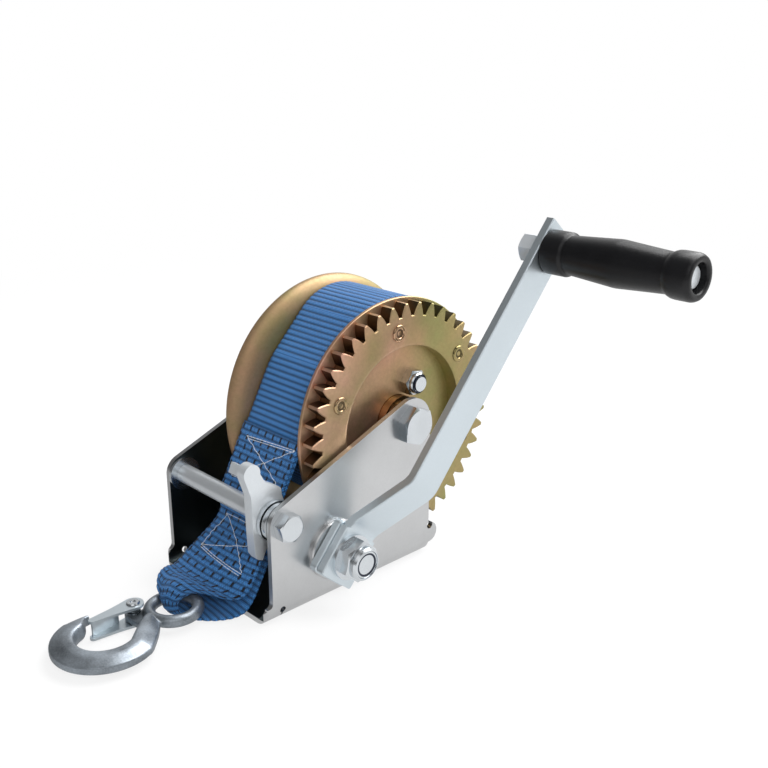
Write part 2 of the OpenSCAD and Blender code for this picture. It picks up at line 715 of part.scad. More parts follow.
module crank_arm() {
    color(bright_zinc) difference() {
        on_crank() intersection() {
            rotate([90, 0, 0]) linear_extrude(pad_w + 2, center = true)
                polygon(concat(bar_edge(1), reversed(bar_edge(-1))));
            linear_extrude(arm_x1 + 10) {
                round_rect(-pad_back, pad_front, pad_w / 2, 2);
                translate([0, -bar_w / 2]) square([bar_end - end_corner_r, bar_w]);
                translate([0, end_corner_r - bar_w / 2]) square([bar_end, bar_w - end_corner_r]);
                translate([bar_end - end_corner_r, end_corner_r - bar_w / 2]) circle(r = end_corner_r);
            }
        }
        flatted_bar(pad_x0 - 1, pad_x1 + 1, journal_r + fixed_fit, flat_half + fixed_fit);
        rod_x(arm_x0 - 1, arm_x1 + 1, grip_y, grip_z, grip_pin_r + fixed_fit);
    }
}

module crank_washer() {
    color(bright_zinc) tube_x(pad_x1, pad_x1 + 2, pin_y, pin_z, 11.8, thread_r + 0.2);
}

module crank_nut() {
    color(bright_zinc) lock_nut_x(pad_x1 + 2, pad_x1 + 12.4, pin_y, pin_z, 19, thread_r + fixed_fit,
        crank_angle);
}

module grip_bolt() {
    head_h = 11;
    color(bright_zinc) {
        hex_x(arm_x0, arm_x0 - head_h, grip_y, grip_z, 14, 20);
        rod_x(arm_x0 - 0.5, recess_x + 2.5, grip_y, grip_z, grip_pin_r);
    }
}

// Moulded grip: collar, waisted barrel, end collar with a recess for the retainer
module handle_grip() {
    inner_collar = grip_x0 + 13;
    widest = grip_x0 + 42;
    taper_end = grip_x1 - 15;
    waist_r = 10.3;
    color(black_plastic) turned_x(grip_y, grip_z, [
        [grip_pin_r + run_fit, grip_x0], [collar_r - 1.1, grip_x0], [collar_r - 0.3, grip_x0 + 1],
        [collar_r - 0.3, inner_collar - 2.5], [collar_r - 1.2, inner_collar - 0.5],
        [waist_r, inner_collar + 0.6], [waist_r, inner_collar + 2], [grip_r, widest - 1], [grip_r, widest + 1],
        [waist_r, taper_end - 0.6], [waist_r, taper_end], [collar_r - 0.2, taper_end + 2.4],
        [collar_r, taper_end + 4.5], [collar_r, grip_x1 - 3], [collar_r - 1.6, grip_x1],
        [recess_r + 1, grip_x1], [recess_r + 0.2, grip_x1 - 1], [recess_r, recess_x],
        [grip_pin_r + run_fit, recess_x]]);
}

// Round cap on the end of the grip bolt
module grip_retainer() {
    cap_r = 6.2;
    color(bright_zinc) turned_x(grip_y, grip_z, [
        [grip_pin_r + fixed_fit, recess_x + 0.3], [cap_r, recess_x + 0.3], [cap_r, recess_x + 3.2],
        [cap_r - 1, recess_x + 4.2], [0, recess_x + 4.4], [0, recess_x + 2.55],
        [grip_pin_r + fixed_fit, recess_x + 2.55]]);
}

// Section of the hook's bowl: thick at its inner side, sloping to a thin outer rim
module bar_section(w, t) {
    rim = 1.5;
    cut = 1.5;
    half = [[-w / 2, t / 2 - cut], [-w / 2 + cut, t / 2], [-w / 8, t / 2], [w / 2 - 0.6, rim + 0.6],
        [w / 2, rim]];
    polygon(concat(half, [for (p = reversed(half)) [p[0], -p[1]]]));
}

// Two circles joined by their common sides, each [centre, radius]
module link_outline(a, ra, b, rb) {
    d = b - a;
    lean = atan2(d[1], d[0]);
    open = acos((ra - rb) / norm(d));
    translate(a) circle(r = ra);
    translate(b) circle(r = rb);
    polygon([a + ra * dir(lean + open), a + ra * dir(lean - open),
        b + rb * dir(lean - open), b + rb * dir(lean + open)]);
}

// Forged hook lying flat: eye, neck, shank, bowl and a lug for the latch
module hook() {
    bowl_start = 188;
    bowl_sweep = 202;
    middle = [bowl_x, bowl_y];
    shank_t = 9;
    tip_t = 5.6;
    color(forged_grey) difference() {
        union() {
            translate([bowl_x, bowl_y, hook_z]) rotate([0, 0, bowl_start])
                rotate_extrude(angle = bowl_sweep) translate([bowl_r, 0]) bar_section(bowl_w, bowl_t);
            translate([hook_x, eye_y, hook_z]) rotate_extrude() translate([eye_r, 0]) circle(r = eye_bar_r);
            translate([0, 0, hook_z - shank_t / 2]) linear_extrude(shank_t)
                link_outline(middle + bowl_r * dir(bowl_start + bowl_sweep), bowl_w / 2 - 0.6,
                    [hook_x + 2.5, eye_y - eye_r - 3], 5.2);
            translate([0, 0, hook_z - tip_t / 2]) linear_extrude(tip_t)
                link_outline(middle + (bowl_r + 0.2) * dir(bowl_start + 2), bowl_w / 2 - 1,
                    middle + (bowl_r + 3) * dir(bowl_start - 15), 2.3);
            translate([0, 0, lug_z0]) linear_extrude(lug_z1 - lug_z0)
                link_outline([rivet_x, rivet_y], 4.6, [hook_x + 2.5, eye_y - eye_r - 3.6], 4.2);
        }
        translate([rivet_x, rivet_y, 0]) cylinder(h = 20, r = latch_pin_r + fixed_fit);
    }
}

// Half widths of a latch cheek at the rivet, at its waist and at its end
cheek_r = 5.2;
waist_half = 3.1;
waist_at = 11;
end_half = 1.9;

// Outline of a latch cheek: round at the rivet, tapering in two steps to a round end
module cheek_outline() {
    circle(r = cheek_r);
    translate([0, -latch_len]) circle(r = end_half);
    polygon([[-cheek_r, 0], [-waist_half, -waist_at], [-end_half, -latch_len],
        [end_half, -latch_len], [waist_half, -waist_at], [cheek_r, 0]]);
}

// Folded sheet latch that closes the hook's mouth
module hook_latch() {
    web_start = 7;
    web_half = cheek_r + (waist_half - cheek_r) * web_start / waist_at - 0.05;
    web_edge = [[-web_half, -web_start], [-waist_half, -waist_at], [-end_half, -latch_len]];
    color(bright_zinc) translate([rivet_x, rivet_y, 0]) difference() {
        union() {
            for (z = [cheek_low_z, cheek_top_z]) translate([0, 0, z]) linear_extrude(cheek_t) cheek_outline();
            translate([0, 0, cheek_low_z]) linear_extrude(cheek_top_z - cheek_low_z + cheek_t)
                polygon(concat(web_edge, [for (p = reversed(web_edge)) p + [cheek_t, 0]]));
        }
        translate([0, 0, -1]) cylinder(h = 20, r = latch_pin_r + run_fit);
    }
}

module latch_rivet() {
    head_r = 3.4;
    color(bright_zinc) translate([rivet_x, rivet_y, 0]) rotate_extrude() polygon([
        [0, 0.2], [head_r - 0.4, 0.2], [head_r, 0.8], [latch_pin_r, 0.8],
        [latch_pin_r, cheek_top_z + cheek_t + 0.2], [head_r, cheek_top_z + cheek_t + 0.2],
        [head_r - 0.5, cheek_top_z + cheek_t + 0.9], [1.4, cheek_top_z + cheek_t + 0.9],
        [1, cheek_top_z + cheek_t + 0.4], [0, cheek_top_z + cheek_t + 0.4]]);
}

module latch_spring() {
    color(zinc) translate([rivet_x, rivet_y, lug_z1 + spring_wire_r + 0.1])
        polyhedron(spring_sections, tube_faces(spring_sides, spring_rings + 1));
}

frame();
tie_bolt();
tie_nut();
tie_spacer_tube();
tie_washers();
pawl();
axle_bolt();
axle_nut();
axle_sleeve();
axle_spacer();
drum_hub_tube();
rolled_flange();
gear_flange();
gear_ring();
gear_rivets();
anchor_bolt();
anchor_nut();
anchor_sleeve();
strap_core();
strap_outer_turn();
strap_tail();
pinion_shaft();
pinion_bush_right();
pinion_bush_left();
shaft_clip();
crank_hub_plate();
crank_arm();
crank_washer();
crank_nut();
grip_bolt();
handle_grip();
grip_retainer();
hook();
hook_latch();
latch_rivet();
latch_spring();
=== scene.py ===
"""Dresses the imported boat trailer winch: webbing, plating, forged hook, moulded grip and a plain studio."""

import json
import math

import bpy
import numpy as np
from bpy.props import FloatProperty, FloatVectorProperty, IntProperty, PointerProperty
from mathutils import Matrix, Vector


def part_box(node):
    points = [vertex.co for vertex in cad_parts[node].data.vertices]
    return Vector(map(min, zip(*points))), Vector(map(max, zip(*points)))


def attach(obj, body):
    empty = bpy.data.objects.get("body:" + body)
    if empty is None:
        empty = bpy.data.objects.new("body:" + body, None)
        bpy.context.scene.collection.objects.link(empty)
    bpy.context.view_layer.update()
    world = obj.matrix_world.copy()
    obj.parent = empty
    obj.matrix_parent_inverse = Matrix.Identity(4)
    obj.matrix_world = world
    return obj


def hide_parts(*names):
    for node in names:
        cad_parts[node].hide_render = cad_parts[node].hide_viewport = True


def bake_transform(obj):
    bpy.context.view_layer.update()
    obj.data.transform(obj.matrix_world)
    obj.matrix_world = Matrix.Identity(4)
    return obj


bl_info = {
    "name": "Boat trailer winch",
    "version": (1, 0, 0),
    "blender": (4, 5, 0),
    "location": "View3D > Sidebar > Winch",
    "description": "Builds the visible pieces and finishes of a hand-cranked strap winch",
    "category": "Object",
}

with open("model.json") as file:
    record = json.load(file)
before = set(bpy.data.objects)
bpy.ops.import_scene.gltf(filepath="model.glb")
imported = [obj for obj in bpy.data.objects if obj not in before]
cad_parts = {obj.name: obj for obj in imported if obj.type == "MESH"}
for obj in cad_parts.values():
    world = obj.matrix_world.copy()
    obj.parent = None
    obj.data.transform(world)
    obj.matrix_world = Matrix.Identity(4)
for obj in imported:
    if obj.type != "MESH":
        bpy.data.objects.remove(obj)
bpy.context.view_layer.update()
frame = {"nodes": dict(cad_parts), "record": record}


def unit_at(degrees):
    """Unit vector [y, z] at an angle up from +Y: (cos a, sin a)."""
    return np.array([math.cos(math.radians(degrees)), math.sin(math.radians(degrees))])


# Sizes are in millimetres and angles in degrees, apart from LEAVE_ANGLE in radians. Points across the winch
# are [y, z]. The last turn follows a circle of COIL_R about the axle and one of CREST_R about CREST.
MM = 0.001
FRONT_Y = -56.0
AXLE = np.array([39.4, 80.6])
GEAR_CENTRES = 76.5
MESH_ANGLE = 43.5
PINION = AXLE - GEAR_CENTRES * unit_at(MESH_ANGLE)
CRANK_REACH = 186.5
CRANK_ANGLE = 48.8
GRIP = PINION + CRANK_REACH * unit_at(CRANK_ANGLE)
TIE = np.array([-47.4, 51.7])
GEAR_TEETH = 41
GEAR_PHASE = 221.2
TOOTH_ROOT = 57.75
TOOTH_TIP = 64.4
TOOTH_STEPS = 8
GEAR_HOLE = 41.2
RIVET_COUNT = 6
RIVET_CIRCLE = 50.0
RIVET_PHASE = 35.8
HUB_R = 13.1
STRAP_X0 = -16.25
STRAP_W = 46.0
STRAP_T = 1.7
COIL_R = 55.7
CREST_R = 35.0
CREST = 31.8 * unit_at(86.5)
TURN_RISE = 2.2
TURN_SWEEP = 392.0
CORE_R = 51.25
RUN_R = COIL_R - STRAP_T / 2
RUN_GAP = 8.0
LEAVE_ANGLE = 2 * math.pi + math.atan2(*(TIE - AXLE)[::-1]) - math.acos(
    (RUN_R + RUN_GAP) / np.linalg.norm(TIE - AXLE))
LEAVE = np.array([math.cos(LEAVE_ANGLE), math.sin(LEAVE_ANGLE)])
DOWN = np.array([-LEAVE[1], LEAVE[0]])
FLAP_START = 28.0
LAYER_STEP = 1.8
HOOK_X = 6.0
HOOK_Z = 6.0
EYE_Y = FRONT_Y - 32.0
EYE_R = 12.0
BOWL = np.array([HOOK_X + 2.0, EYE_Y - 39.0])
BOWL_R = 19.2


def linear(red, green, blue):
    """Linear colour from 0 to 255 display values: c/12.92 below 0.04045, else ((c + 0.055)/1.055)^2.4."""
    c = np.array([red, green, blue]) / 255.0
    return tuple(np.where(c <= 0.04045, c / 12.92, ((c + 0.055) / 1.055) ** 2.4).tolist())


class WinchSizes(bpy.types.PropertyGroup):
    """Sizes of the visible pieces that a user would change."""

    rib_pitch: FloatProperty(
        name="Rib pitch", description="Spacing of the webbing's ribs along the strap",
        default=0.0031, unit="LENGTH")
    rib_height: FloatProperty(
        name="Rib height", description="Height of the webbing's ribs", default=0.00045, unit="LENGTH")
    thread_radius: FloatProperty(
        name="Thread radius", description="Radius of the sewing thread", default=0.00017, unit="LENGTH")
    tooth_chamfer: FloatProperty(
        name="Tooth chamfer", description="Broken edge round the gear's teeth", default=0.0005, unit="LENGTH")
    edge_radius: FloatProperty(
        name="Edge radius", description="Rounding on cut sheet and bar edges", default=0.0005, unit="LENGTH")
    hook_cell: FloatProperty(
        name="Hook cell", description="Cell size that blends the forged hook", default=0.00045, unit="LENGTH")
    turned_steps: IntProperty(
        name="Turned steps", description="Faces round a turned piece", default=144, min=24, max=256)


class WinchFinishes(bpy.types.PropertyGroup):
    """Colours of the finishes that a user would change."""

    webbing: FloatVectorProperty(
        name="Webbing", description="Dyed yarn of the strap", subtype="COLOR", size=3, min=0, max=1,
        default=linear(46, 108, 168))
    sheet: FloatVectorProperty(
        name="Sheet zinc", description="Clear plated sheet of the frame", subtype="COLOR", size=3, min=0,
        max=1, default=linear(210, 211, 212))
    crank: FloatVectorProperty(
        name="Crank zinc", description="Bluish plated bar and pad", subtype="COLOR", size=3, min=0, max=1,
        default=linear(214, 224, 230))
    hardware: FloatVectorProperty(
        name="Hardware zinc", description="Bright plated bolts and nuts", subtype="COLOR", size=3, min=0,
        max=1, default=linear(220, 225, 229))
    gold: FloatVectorProperty(
        name="Yellow zinc", description="Gold tone of the drum's plating", subtype="COLOR", size=3, min=0,
        max=1, default=linear(186, 150, 104))
    rose: FloatVectorProperty(
        name="Rose tint", description="Pink tone in the drum's plating", subtype="COLOR", size=3, min=0,
        max=1, default=linear(222, 171, 150))
    olive: FloatVectorProperty(
        name="Olive tint", description="Green tone in the drum's plating", subtype="COLOR", size=3, min=0,
        max=1, default=linear(156, 152, 98))
    forged: FloatVectorProperty(
        name="Forged zinc", description="Plated forging of the hook", subtype="COLOR", size=3, min=0, max=1,
        default=linear(184, 193, 202))
    plastic: FloatVectorProperty(
        name="Grip plastic", description="Moulded grip", subtype="COLOR", size=3, min=0, max=1,
        default=linear(12, 12, 14))
    nylon: FloatVectorProperty(
        name="Lock ring", description="Nylon ring in the lock nuts", subtype="COLOR", size=3, min=0, max=1,
        default=linear(22, 30, 44))
    thread: FloatVectorProperty(
        name="Thread", description="Sewing thread", subtype="COLOR", size=3, min=0, max=1,
        default=linear(226, 230, 234))


def add_mesh(name, points, faces, uv=None, material_index=None, smooth=True):
    """Object at the origin from points in millimetres, faces by index, and a UV in millimetres per corner."""
    mesh = bpy.data.meshes.new(name)
    mesh.from_pydata((np.asarray(points, float).reshape(-1, 3) * MM).tolist(), [],
                     faces if isinstance(faces, list) else faces.tolist())
    if uv is not None:
        layer = mesh.uv_layers.new(name="cloth")
        layer.data.foreach_set("uv", np.asarray(uv, np.float32).ravel())
    if material_index is not None:
        mesh.polygons.foreach_set("material_index", np.asarray(material_index, np.int32))
    mesh.polygons.foreach_set("use_smooth", np.full(len(mesh.polygons), smooth))
    mesh.update()
    mesh.validate()
    piece = bpy.data.objects.new(name, mesh)
    bpy.context.scene.collection.objects.link(piece)
    return piece


def grid_faces(rows, columns, wrap_rows=False, wrap_columns=False):
    """Quads of a grid of rows by columns, counter-clockwise when rows run up and columns run right."""
    r = np.arange(rows if wrap_rows else rows - 1)[:, None]
    c = np.arange(columns if wrap_columns else columns - 1)[None, :]
    up = (r + 1) % rows
    right = (c + 1) % columns
    corners = [r * columns + c, r * columns + right, up * columns + right, up * columns + c]
    return np.stack(np.broadcast_arrays(*corners), -1).reshape(-1, 4)


def tube_faces(rows, columns, start=0):
    """Faces of a closed tube of rows by columns points: quads round it, and one face on each end."""
    quads = grid_faces(rows, columns, False, True) + start
    ends = [np.arange(columns)[::-1], np.arange((rows - 1) * columns, rows * columns)]
    return quads.tolist() + [(end + start).tolist() for end in ends]


def smooth_line(points, step, measured=slice(0, 2)):
    """Catmull-Rom curve through points, resampled at even steps of the measured columns.

    From b to c, with a before and d after, it is half of
    2b + (c - a) t + (2a - 5b + 4c - d) t^2 + (3b - a - 3c + d) t^3.
    """
    per_span = 24
    p = np.asarray(points, float)
    ends = np.vstack([2 * p[0] - p[1], p, 2 * p[-1] - p[-2]])
    t = np.linspace(0, 1, per_span, endpoint=False)[:, None]
    a, b, c, d = (ends[i:len(p) - 1 + i, None, :] for i in range(4))
    curve = 0.5 * (2 * b + (c - a) * t + (2 * a - 5 * b + 4 * c - d) * t ** 2
                   + (3 * b - a - 3 * c + d) * t ** 3)
    curve = np.vstack([curve.reshape(-1, p.shape[1]), p[-1]])
    along = np.concatenate([[0], np.cumsum(np.linalg.norm(np.diff(curve[:, measured], axis=0), axis=1))])
    even = np.linspace(0, along[-1], int(along[-1] / step) + 1)
    return np.stack([np.interp(even, along, column) for column in curve.T], 1), even


def turned(name, centre, profile, steps):
    """Piece turned about a line along X: x = p_x, (y, z) = centre + p_r (cos a, sin a) round the circle."""
    p = np.asarray(profile, float)
    a = np.linspace(0, 2 * np.pi, steps, endpoint=False)[:, None]
    points = np.stack(np.broadcast_arrays(p[None, :, 1], centre[0] + p[None, :, 0] * np.cos(a),
                                          centre[1] + p[None, :, 0] * np.sin(a)), -1)
    return add_mesh(name, points, grid_faces(steps, len(p), True, True))


def rounded_profile(corners, radius, steps=4):
    """Closed profile with each corner c replaced by (1-t)^2 s + 2t(1-t) c + t^2 e, s and e a radius away."""
    p = np.asarray(corners, float)
    before = np.roll(p, 1, 0) - p
    after = np.roll(p, -1, 0) - p
    reach = [np.minimum(radius, np.linalg.norm(v, axis=1) * 0.45)[:, None] * v
             / np.maximum(np.linalg.norm(v, axis=1), 1e-9)[:, None] for v in (before, after)]
    t = np.linspace(0, 1, steps + 1)[None, :, None]
    start, end, corner = (p + reach[0])[:, None], (p + reach[1])[:, None], p[:, None]
    return ((1 - t) ** 2 * start + 2 * t * (1 - t) * corner + t ** 2 * end).reshape(-1, 2)


def shade_by_angle(piece, degrees):
    """Smooth shading with edges sharper than an angle kept sharp."""
    piece.data.polygons.foreach_set("use_smooth", np.ones(len(piece.data.polygons), bool))
    piece.data.set_sharp_from_angle(angle=math.radians(degrees))


def node_in(tree, kind, inputs=None, **settings):
    """Adds a node, sets its properties, and sets or links its inputs by name or index."""
    made = tree.nodes.new(kind)
    for key, value in settings.items():
        setattr(made, key, value)
    for key, value in (inputs or {}).items():
        socket = made.inputs[key]
        if isinstance(value, bpy.types.NodeSocket):
            tree.links.new(value, socket)
        else:
            socket.default_value = value
    return made


def maths(tree, operation, *values):
    """One Math node: operation on the given values or sockets."""
    return node_in(tree, "ShaderNodeMath", dict(enumerate(values)), operation=operation).outputs[0]


def mix_colour(tree, factor, a, b):
    """Colour between a and b by a factor."""
    made = node_in(tree, "ShaderNodeMix", {0: factor}, data_type="RGBA")
    for index, value in ((6, a), (7, b)):
        if isinstance(value, bpy.types.NodeSocket):
            tree.links.new(value, made.inputs[index])
        else:
            made.inputs[index].default_value = (*value, 1)
    return made.outputs[2]


def spread(tree, value, low, high, out_low=0.0, out_high=1.0):
    """Value stretched from low..high to out_low..out_high, held at the ends."""
    return node_in(tree, "ShaderNodeMapRange", {"Value": value, "From Min": low, "From Max": high,
                                                "To Min": out_low, "To Max": out_high}).outputs[0]


def weighted(tree, first, share, second, other_share):
    """Sum of two values, each times its share."""
    return maths(tree, "ADD", maths(tree, "MULTIPLY", first, share),
                 maths(tree, "MULTIPLY", second, other_share))


def ridge(tree, value, pitch):
    """Ridges of a pitch: |sin(pi v / pitch)|, 0 in the valleys and 1 on the crests."""
    return maths(tree, "ABSOLUTE", maths(tree, "SINE", maths(tree, "MULTIPLY", value, math.pi / pitch)))


def facing(tree, vector, direction):
    """Dot product of a vector and a fixed direction."""
    return node_in(tree, "ShaderNodeVectorMath", {0: vector, 1: direction},
                   operation="DOT_PRODUCT").outputs["Value"]


def shader_group(name, inputs, outputs):
    """Empty node group with float or vector inputs (name, kind, default) and outputs (name, kind)."""
    group = bpy.data.node_groups.new(name, "ShaderNodeTree")
    for label, kind, default in inputs:
        socket = group.interface.new_socket(label, in_out="INPUT", socket_type=kind)
        if default is not None:
            socket.default_value = default
    for label, kind in outputs:
        group.interface.new_socket(label, in_out="OUTPUT", socket_type=kind)
    return group, group.nodes.new("NodeGroupInput"), group.nodes.new("NodeGroupOutput")


def plating_group():
    """Plated metal: slow cloudy tone, fine grain, and streaks drawn out along Y, each from 0 to 1."""
    group, given, out = shader_group(
        "Plating", [("Vector", "NodeSocketVector", None), ("Scale", "NodeSocketFloat", 1.0)],
        [("Cloud", "NodeSocketFloat"), ("Grain", "NodeSocketFloat"), ("Streak", "NodeSocketFloat")])
    scaled = node_in(group, "ShaderNodeVectorMath", operation="SCALE", inputs={
        0: given.outputs["Vector"], "Scale": given.outputs["Scale"]}).outputs[0]
    cloud = node_in(group, "ShaderNodeTexNoise",
                    {"Vector": scaled, "Scale": 38.0, "Detail": 3.0, "Roughness": 0.55})
    grain = node_in(group, "ShaderNodeTexNoise",
                    {"Vector": scaled, "Scale": 900.0, "Detail": 2.0, "Roughness": 0.6})
    drawn = node_in(group, "ShaderNodeMapping", {"Vector": scaled, "Scale": (900.0, 26.0, 900.0)})
    streak = node_in(group, "ShaderNodeTexNoise", {"Vector": drawn.outputs[0], "Scale": 1.0, "Detail": 2.0})
    group.links.new(spread(group, cloud.outputs[0], 0.32, 0.68), out.inputs["Cloud"])
    group.links.new(spread(group, grain.outputs[0], 0.3, 0.7), out.inputs["Grain"])
    group.links.new(spread(group, streak.outputs[0], 0.3, 0.7), out.inputs["Streak"])
    return group


def weave_group():
    """Webbing on a UV in millimetres: yarn columns crossed by rows, as a height and a shaded tone, each from
    0 to 1.
    """
    group, given, out = shader_group(
        "Weave", [("UV", "NodeSocketVector", None), ("Column", "NodeSocketFloat", 1.15),
                  ("Row", "NodeSocketFloat", 0.775)],
        [("Tone", "NodeSocketFloat"), ("Height", "NodeSocketFloat")])
    split = node_in(group, "ShaderNodeSeparateXYZ", {0: given.outputs["UV"]})
    row = maths(group, "DIVIDE", split.outputs[1], given.outputs["Row"])
    parity = maths(group, "MULTIPLY", maths(group, "MODULO", maths(group, "FLOOR", row), 2.0), 0.5)
    column = maths(group, "ADD", maths(group, "DIVIDE", split.outputs[0], given.outputs["Column"]), parity)
    across, along = ridge(group, column, 1.0), ridge(group, row, 1.0)
    height = maths(group, "MULTIPLY", maths(group, "POWER", across, 0.6), maths(group, "POWER", along, 0.5))
    loose = node_in(group, "ShaderNodeTexNoise", {"Vector": given.outputs["UV"], "Scale": 0.9, "Detail": 3.0})
    # Painted shade: the tone is the weave's height times a random yarn variation, so it darkens in the
    # weave's hollows.
    tone = maths(group, "MULTIPLY", height, spread(group, loose.outputs[0], 0.3, 0.7, 0.7, 1.0))
    group.links.new(tone, out.inputs["Tone"])
    group.links.new(height, out.inputs["Height"])
    return group


def new_material(name):
    """Empty node material; returns it, its tree and its Principled shader."""
    material = bpy.data.materials.new(name)
    material.use_nodes = True
    tree = material.node_tree
    return material, tree, tree.nodes["Principled BSDF"]


def object_vector(tree):
    """Object coordinates of the piece."""
    return tree.nodes.new("ShaderNodeTexCoord").outputs["Object"]


def bump_on(tree, shader, height, distance, strength=1.0):
    """Bump of a height from 0 to 1 times a distance in metres, fed to the shader's normal."""
    made = node_in(tree, "ShaderNodeBump", {"Height": height, "Distance": distance, "Strength": strength})
    tree.links.new(made.outputs[0], shader.inputs["Normal"])


def plated(name, groups, colour, rough, spread_rough, scale=1.0, tint=0.06, grain_bump=0.0000006, shade_half_width=0.0,
           metal=1.0):
    """Plated metal: the colour dulls a little in clouds and grain, and roughness follows clouds and streaks.

    Where the inner half width is set, faces nearer to X = 0 than that and above the base's underside
    take painted shade, dark and dull.
    """
    material, tree, shader = new_material(name)
    vector = object_vector(tree)
    noise = node_in(tree, "ShaderNodeGroup", {"Vector": vector, "Scale": scale}, node_tree=groups["plating"])
    low = tuple(c * (1 - 2 * tint) for c in colour)
    tone = weighted(tree, noise.outputs["Cloud"], 0.7, noise.outputs["Grain"], 0.3)
    toned = mix_colour(tree, tone, low, tuple(colour))
    wear = weighted(tree, noise.outputs["Cloud"], 0.5, noise.outputs["Streak"], 0.5)
    dull = spread(tree, wear, 0.0, 1.0, rough - spread_rough, rough + spread_rough)
    if shade_half_width:
        # Painted shade: inside the channel the colour turns near-black (0.06, 0.075, 0.08) and the roughness
        # rises by 0.12.
        split = node_in(tree, "ShaderNodeSeparateXYZ", {0: vector})
        between = maths(tree, "LESS_THAN", maths(tree, "ABSOLUTE", split.outputs[0]), shade_half_width)
        painted_shade = maths(tree, "MULTIPLY", between, maths(tree, "GREATER_THAN", split.outputs[2], 0.0027))
        toned = mix_colour(tree, painted_shade, toned, (0.06, 0.075, 0.08))
        dull = maths(tree, "ADD", dull, maths(tree, "MULTIPLY", painted_shade, 0.12))
    tree.links.new(toned, shader.inputs["Base Color"])
    shader.inputs["Metallic"].default_value = metal
    tree.links.new(dull, shader.inputs["Roughness"])
    bump_on(tree, shader, noise.outputs["Grain"], grain_bump)
    return material


def yellow_plated(name, groups, finishes, dark=1.0, rough=0.36, blush=0.6, metal=1.0):
    """Yellow plating: gold that drifts in slow clouds to rose in front and olive behind, with fine grain."""
    material, tree, shader = new_material(name)
    vector = object_vector(tree)
    slow = node_in(tree, "ShaderNodeGroup", {"Vector": vector, "Scale": 0.62}, node_tree=groups["plating"])
    shifted = node_in(tree, "ShaderNodeMapping", {"Vector": vector, "Location": (0.31, 0.17, 0.23)})
    second = node_in(tree, "ShaderNodeGroup", {"Vector": shifted.outputs[0], "Scale": 0.74},
                     node_tree=groups["plating"])
    # The dark factor scales all three tones; at 0.3 it makes the painted shade of the tooth gaps and rivet
    # hollows.
    shade = [tuple(c * dark for c in colour) for colour in (finishes.gold, finishes.rose, finishes.olive)]
    depth = node_in(tree, "ShaderNodeSeparateXYZ", {0: vector}).outputs[1]
    front = spread(tree, depth, -0.02, 0.09, 1.0, 0.0)
    rosy = weighted(tree, front, blush, slow.outputs["Cloud"], 0.5)
    cloudy = maths(tree, "ADD", maths(tree, "MULTIPLY", second.outputs["Cloud"], 0.8), 0.35)
    green = maths(tree, "SUBTRACT", cloudy, maths(tree, "MULTIPLY", front, blush))
    warm = mix_colour(tree, spread(tree, rosy, 0.0, 1.0), shade[0], shade[1])
    toned = mix_colour(tree, spread(tree, green, 0.0, 1.0), warm, shade[2])
    fleck = maths(tree, "MULTIPLY", slow.outputs["Grain"], 0.14)
    speckled = mix_colour(tree, fleck, toned, (0.1, 0.07, 0.04))
    tree.links.new(speckled, shader.inputs["Base Color"])
    shader.inputs["Metallic"].default_value = metal
    tree.links.new(spread(tree, second.outputs["Grain"], 0.0, 1.0, rough, rough + 0.1),
                   shader.inputs["Roughness"])
    bump_on(tree, shader, slow.outputs["Grain"], 0.000004)
    return material


def webbing(name, groups, finishes, pitch, dashes):
    """Woven strap: UV yarn tone, painted rib shade and crest highlight, and black dashes on its other face.
    """
    material, tree, shader = new_material(name)
    uv = tree.nodes.new("ShaderNodeUVMap")
    uv.uv_map = "cloth"
    split = node_in(tree, "ShaderNodeSeparateXYZ", {0: uv.outputs[0]})
    weave = node_in(tree, "ShaderNodeGroup", {"UV": uv.outputs[0], "Row": pitch / 4},
                    node_tree=groups["weave"])
    colour = tuple(finishes.webbing)
    # Painted shade and highlight: deep is the colour darkened for the rib valleys, light is it brightened for
    # the crests.
    deep = tuple(c * 0.17 for c in colour)
    light = tuple(min(1.0, c * 1.62 + 0.014) for c in colour)
    rib = spread(tree, ridge(tree, split.outputs[1], pitch), 0.0, 0.9, 0.08, 1.0)
    shade_to_highlight = maths(tree, "MULTIPLY", spread(tree, weave.outputs["Tone"], 0.05, 0.85, 0.3, 1.0), rib)
    tone = mix_colour(tree, shade_to_highlight, deep, light)
    if dashes:
        column_pitch, row_pitch = 6.1, 5.2
        # Painted shade: darker lines in grooves along the strap between the dash columns.
        groove = ridge(tree, split.outputs[0], column_pitch / 2)
        tone = mix_colour(tree, spread(tree, groove, 0.0, 0.35, 0.6, 0.0), tone, deep)
        row = maths(tree, "DIVIDE", split.outputs[1], row_pitch)
        shift = maths(tree, "MULTIPLY", maths(tree, "MODULO", maths(tree, "FLOOR", row), 2.0), 0.14)
        column = maths(tree, "ADD", maths(tree, "DIVIDE", split.outputs[0], column_pitch), shift)
        beside = maths(tree, "ABSOLUTE", maths(tree, "SUBTRACT", maths(tree, "FRACT", column), 0.5))
        beyond = maths(tree, "ABSOLUTE", maths(tree, "SUBTRACT", maths(tree, "FRACT", row), 0.5))
        dash = maths(tree, "MULTIPLY", maths(tree, "LESS_THAN", beside, 0.105),
                     maths(tree, "LESS_THAN", beyond, 0.29))
        tone = mix_colour(tree, dash, tone, (0.003, 0.004, 0.007))
    tree.links.new(tone, shader.inputs["Base Color"])
    shader.inputs["Roughness"].default_value = 0.5
    shader.inputs["Specular IOR Level"].default_value = 0.5
    shader.inputs["Sheen Weight"].default_value = 0.06
    shader.inputs["Sheen Roughness"].default_value = 0.4
    bump_on(tree, shader, weave.outputs["Height"], 0.0004, 0.9)
    return material


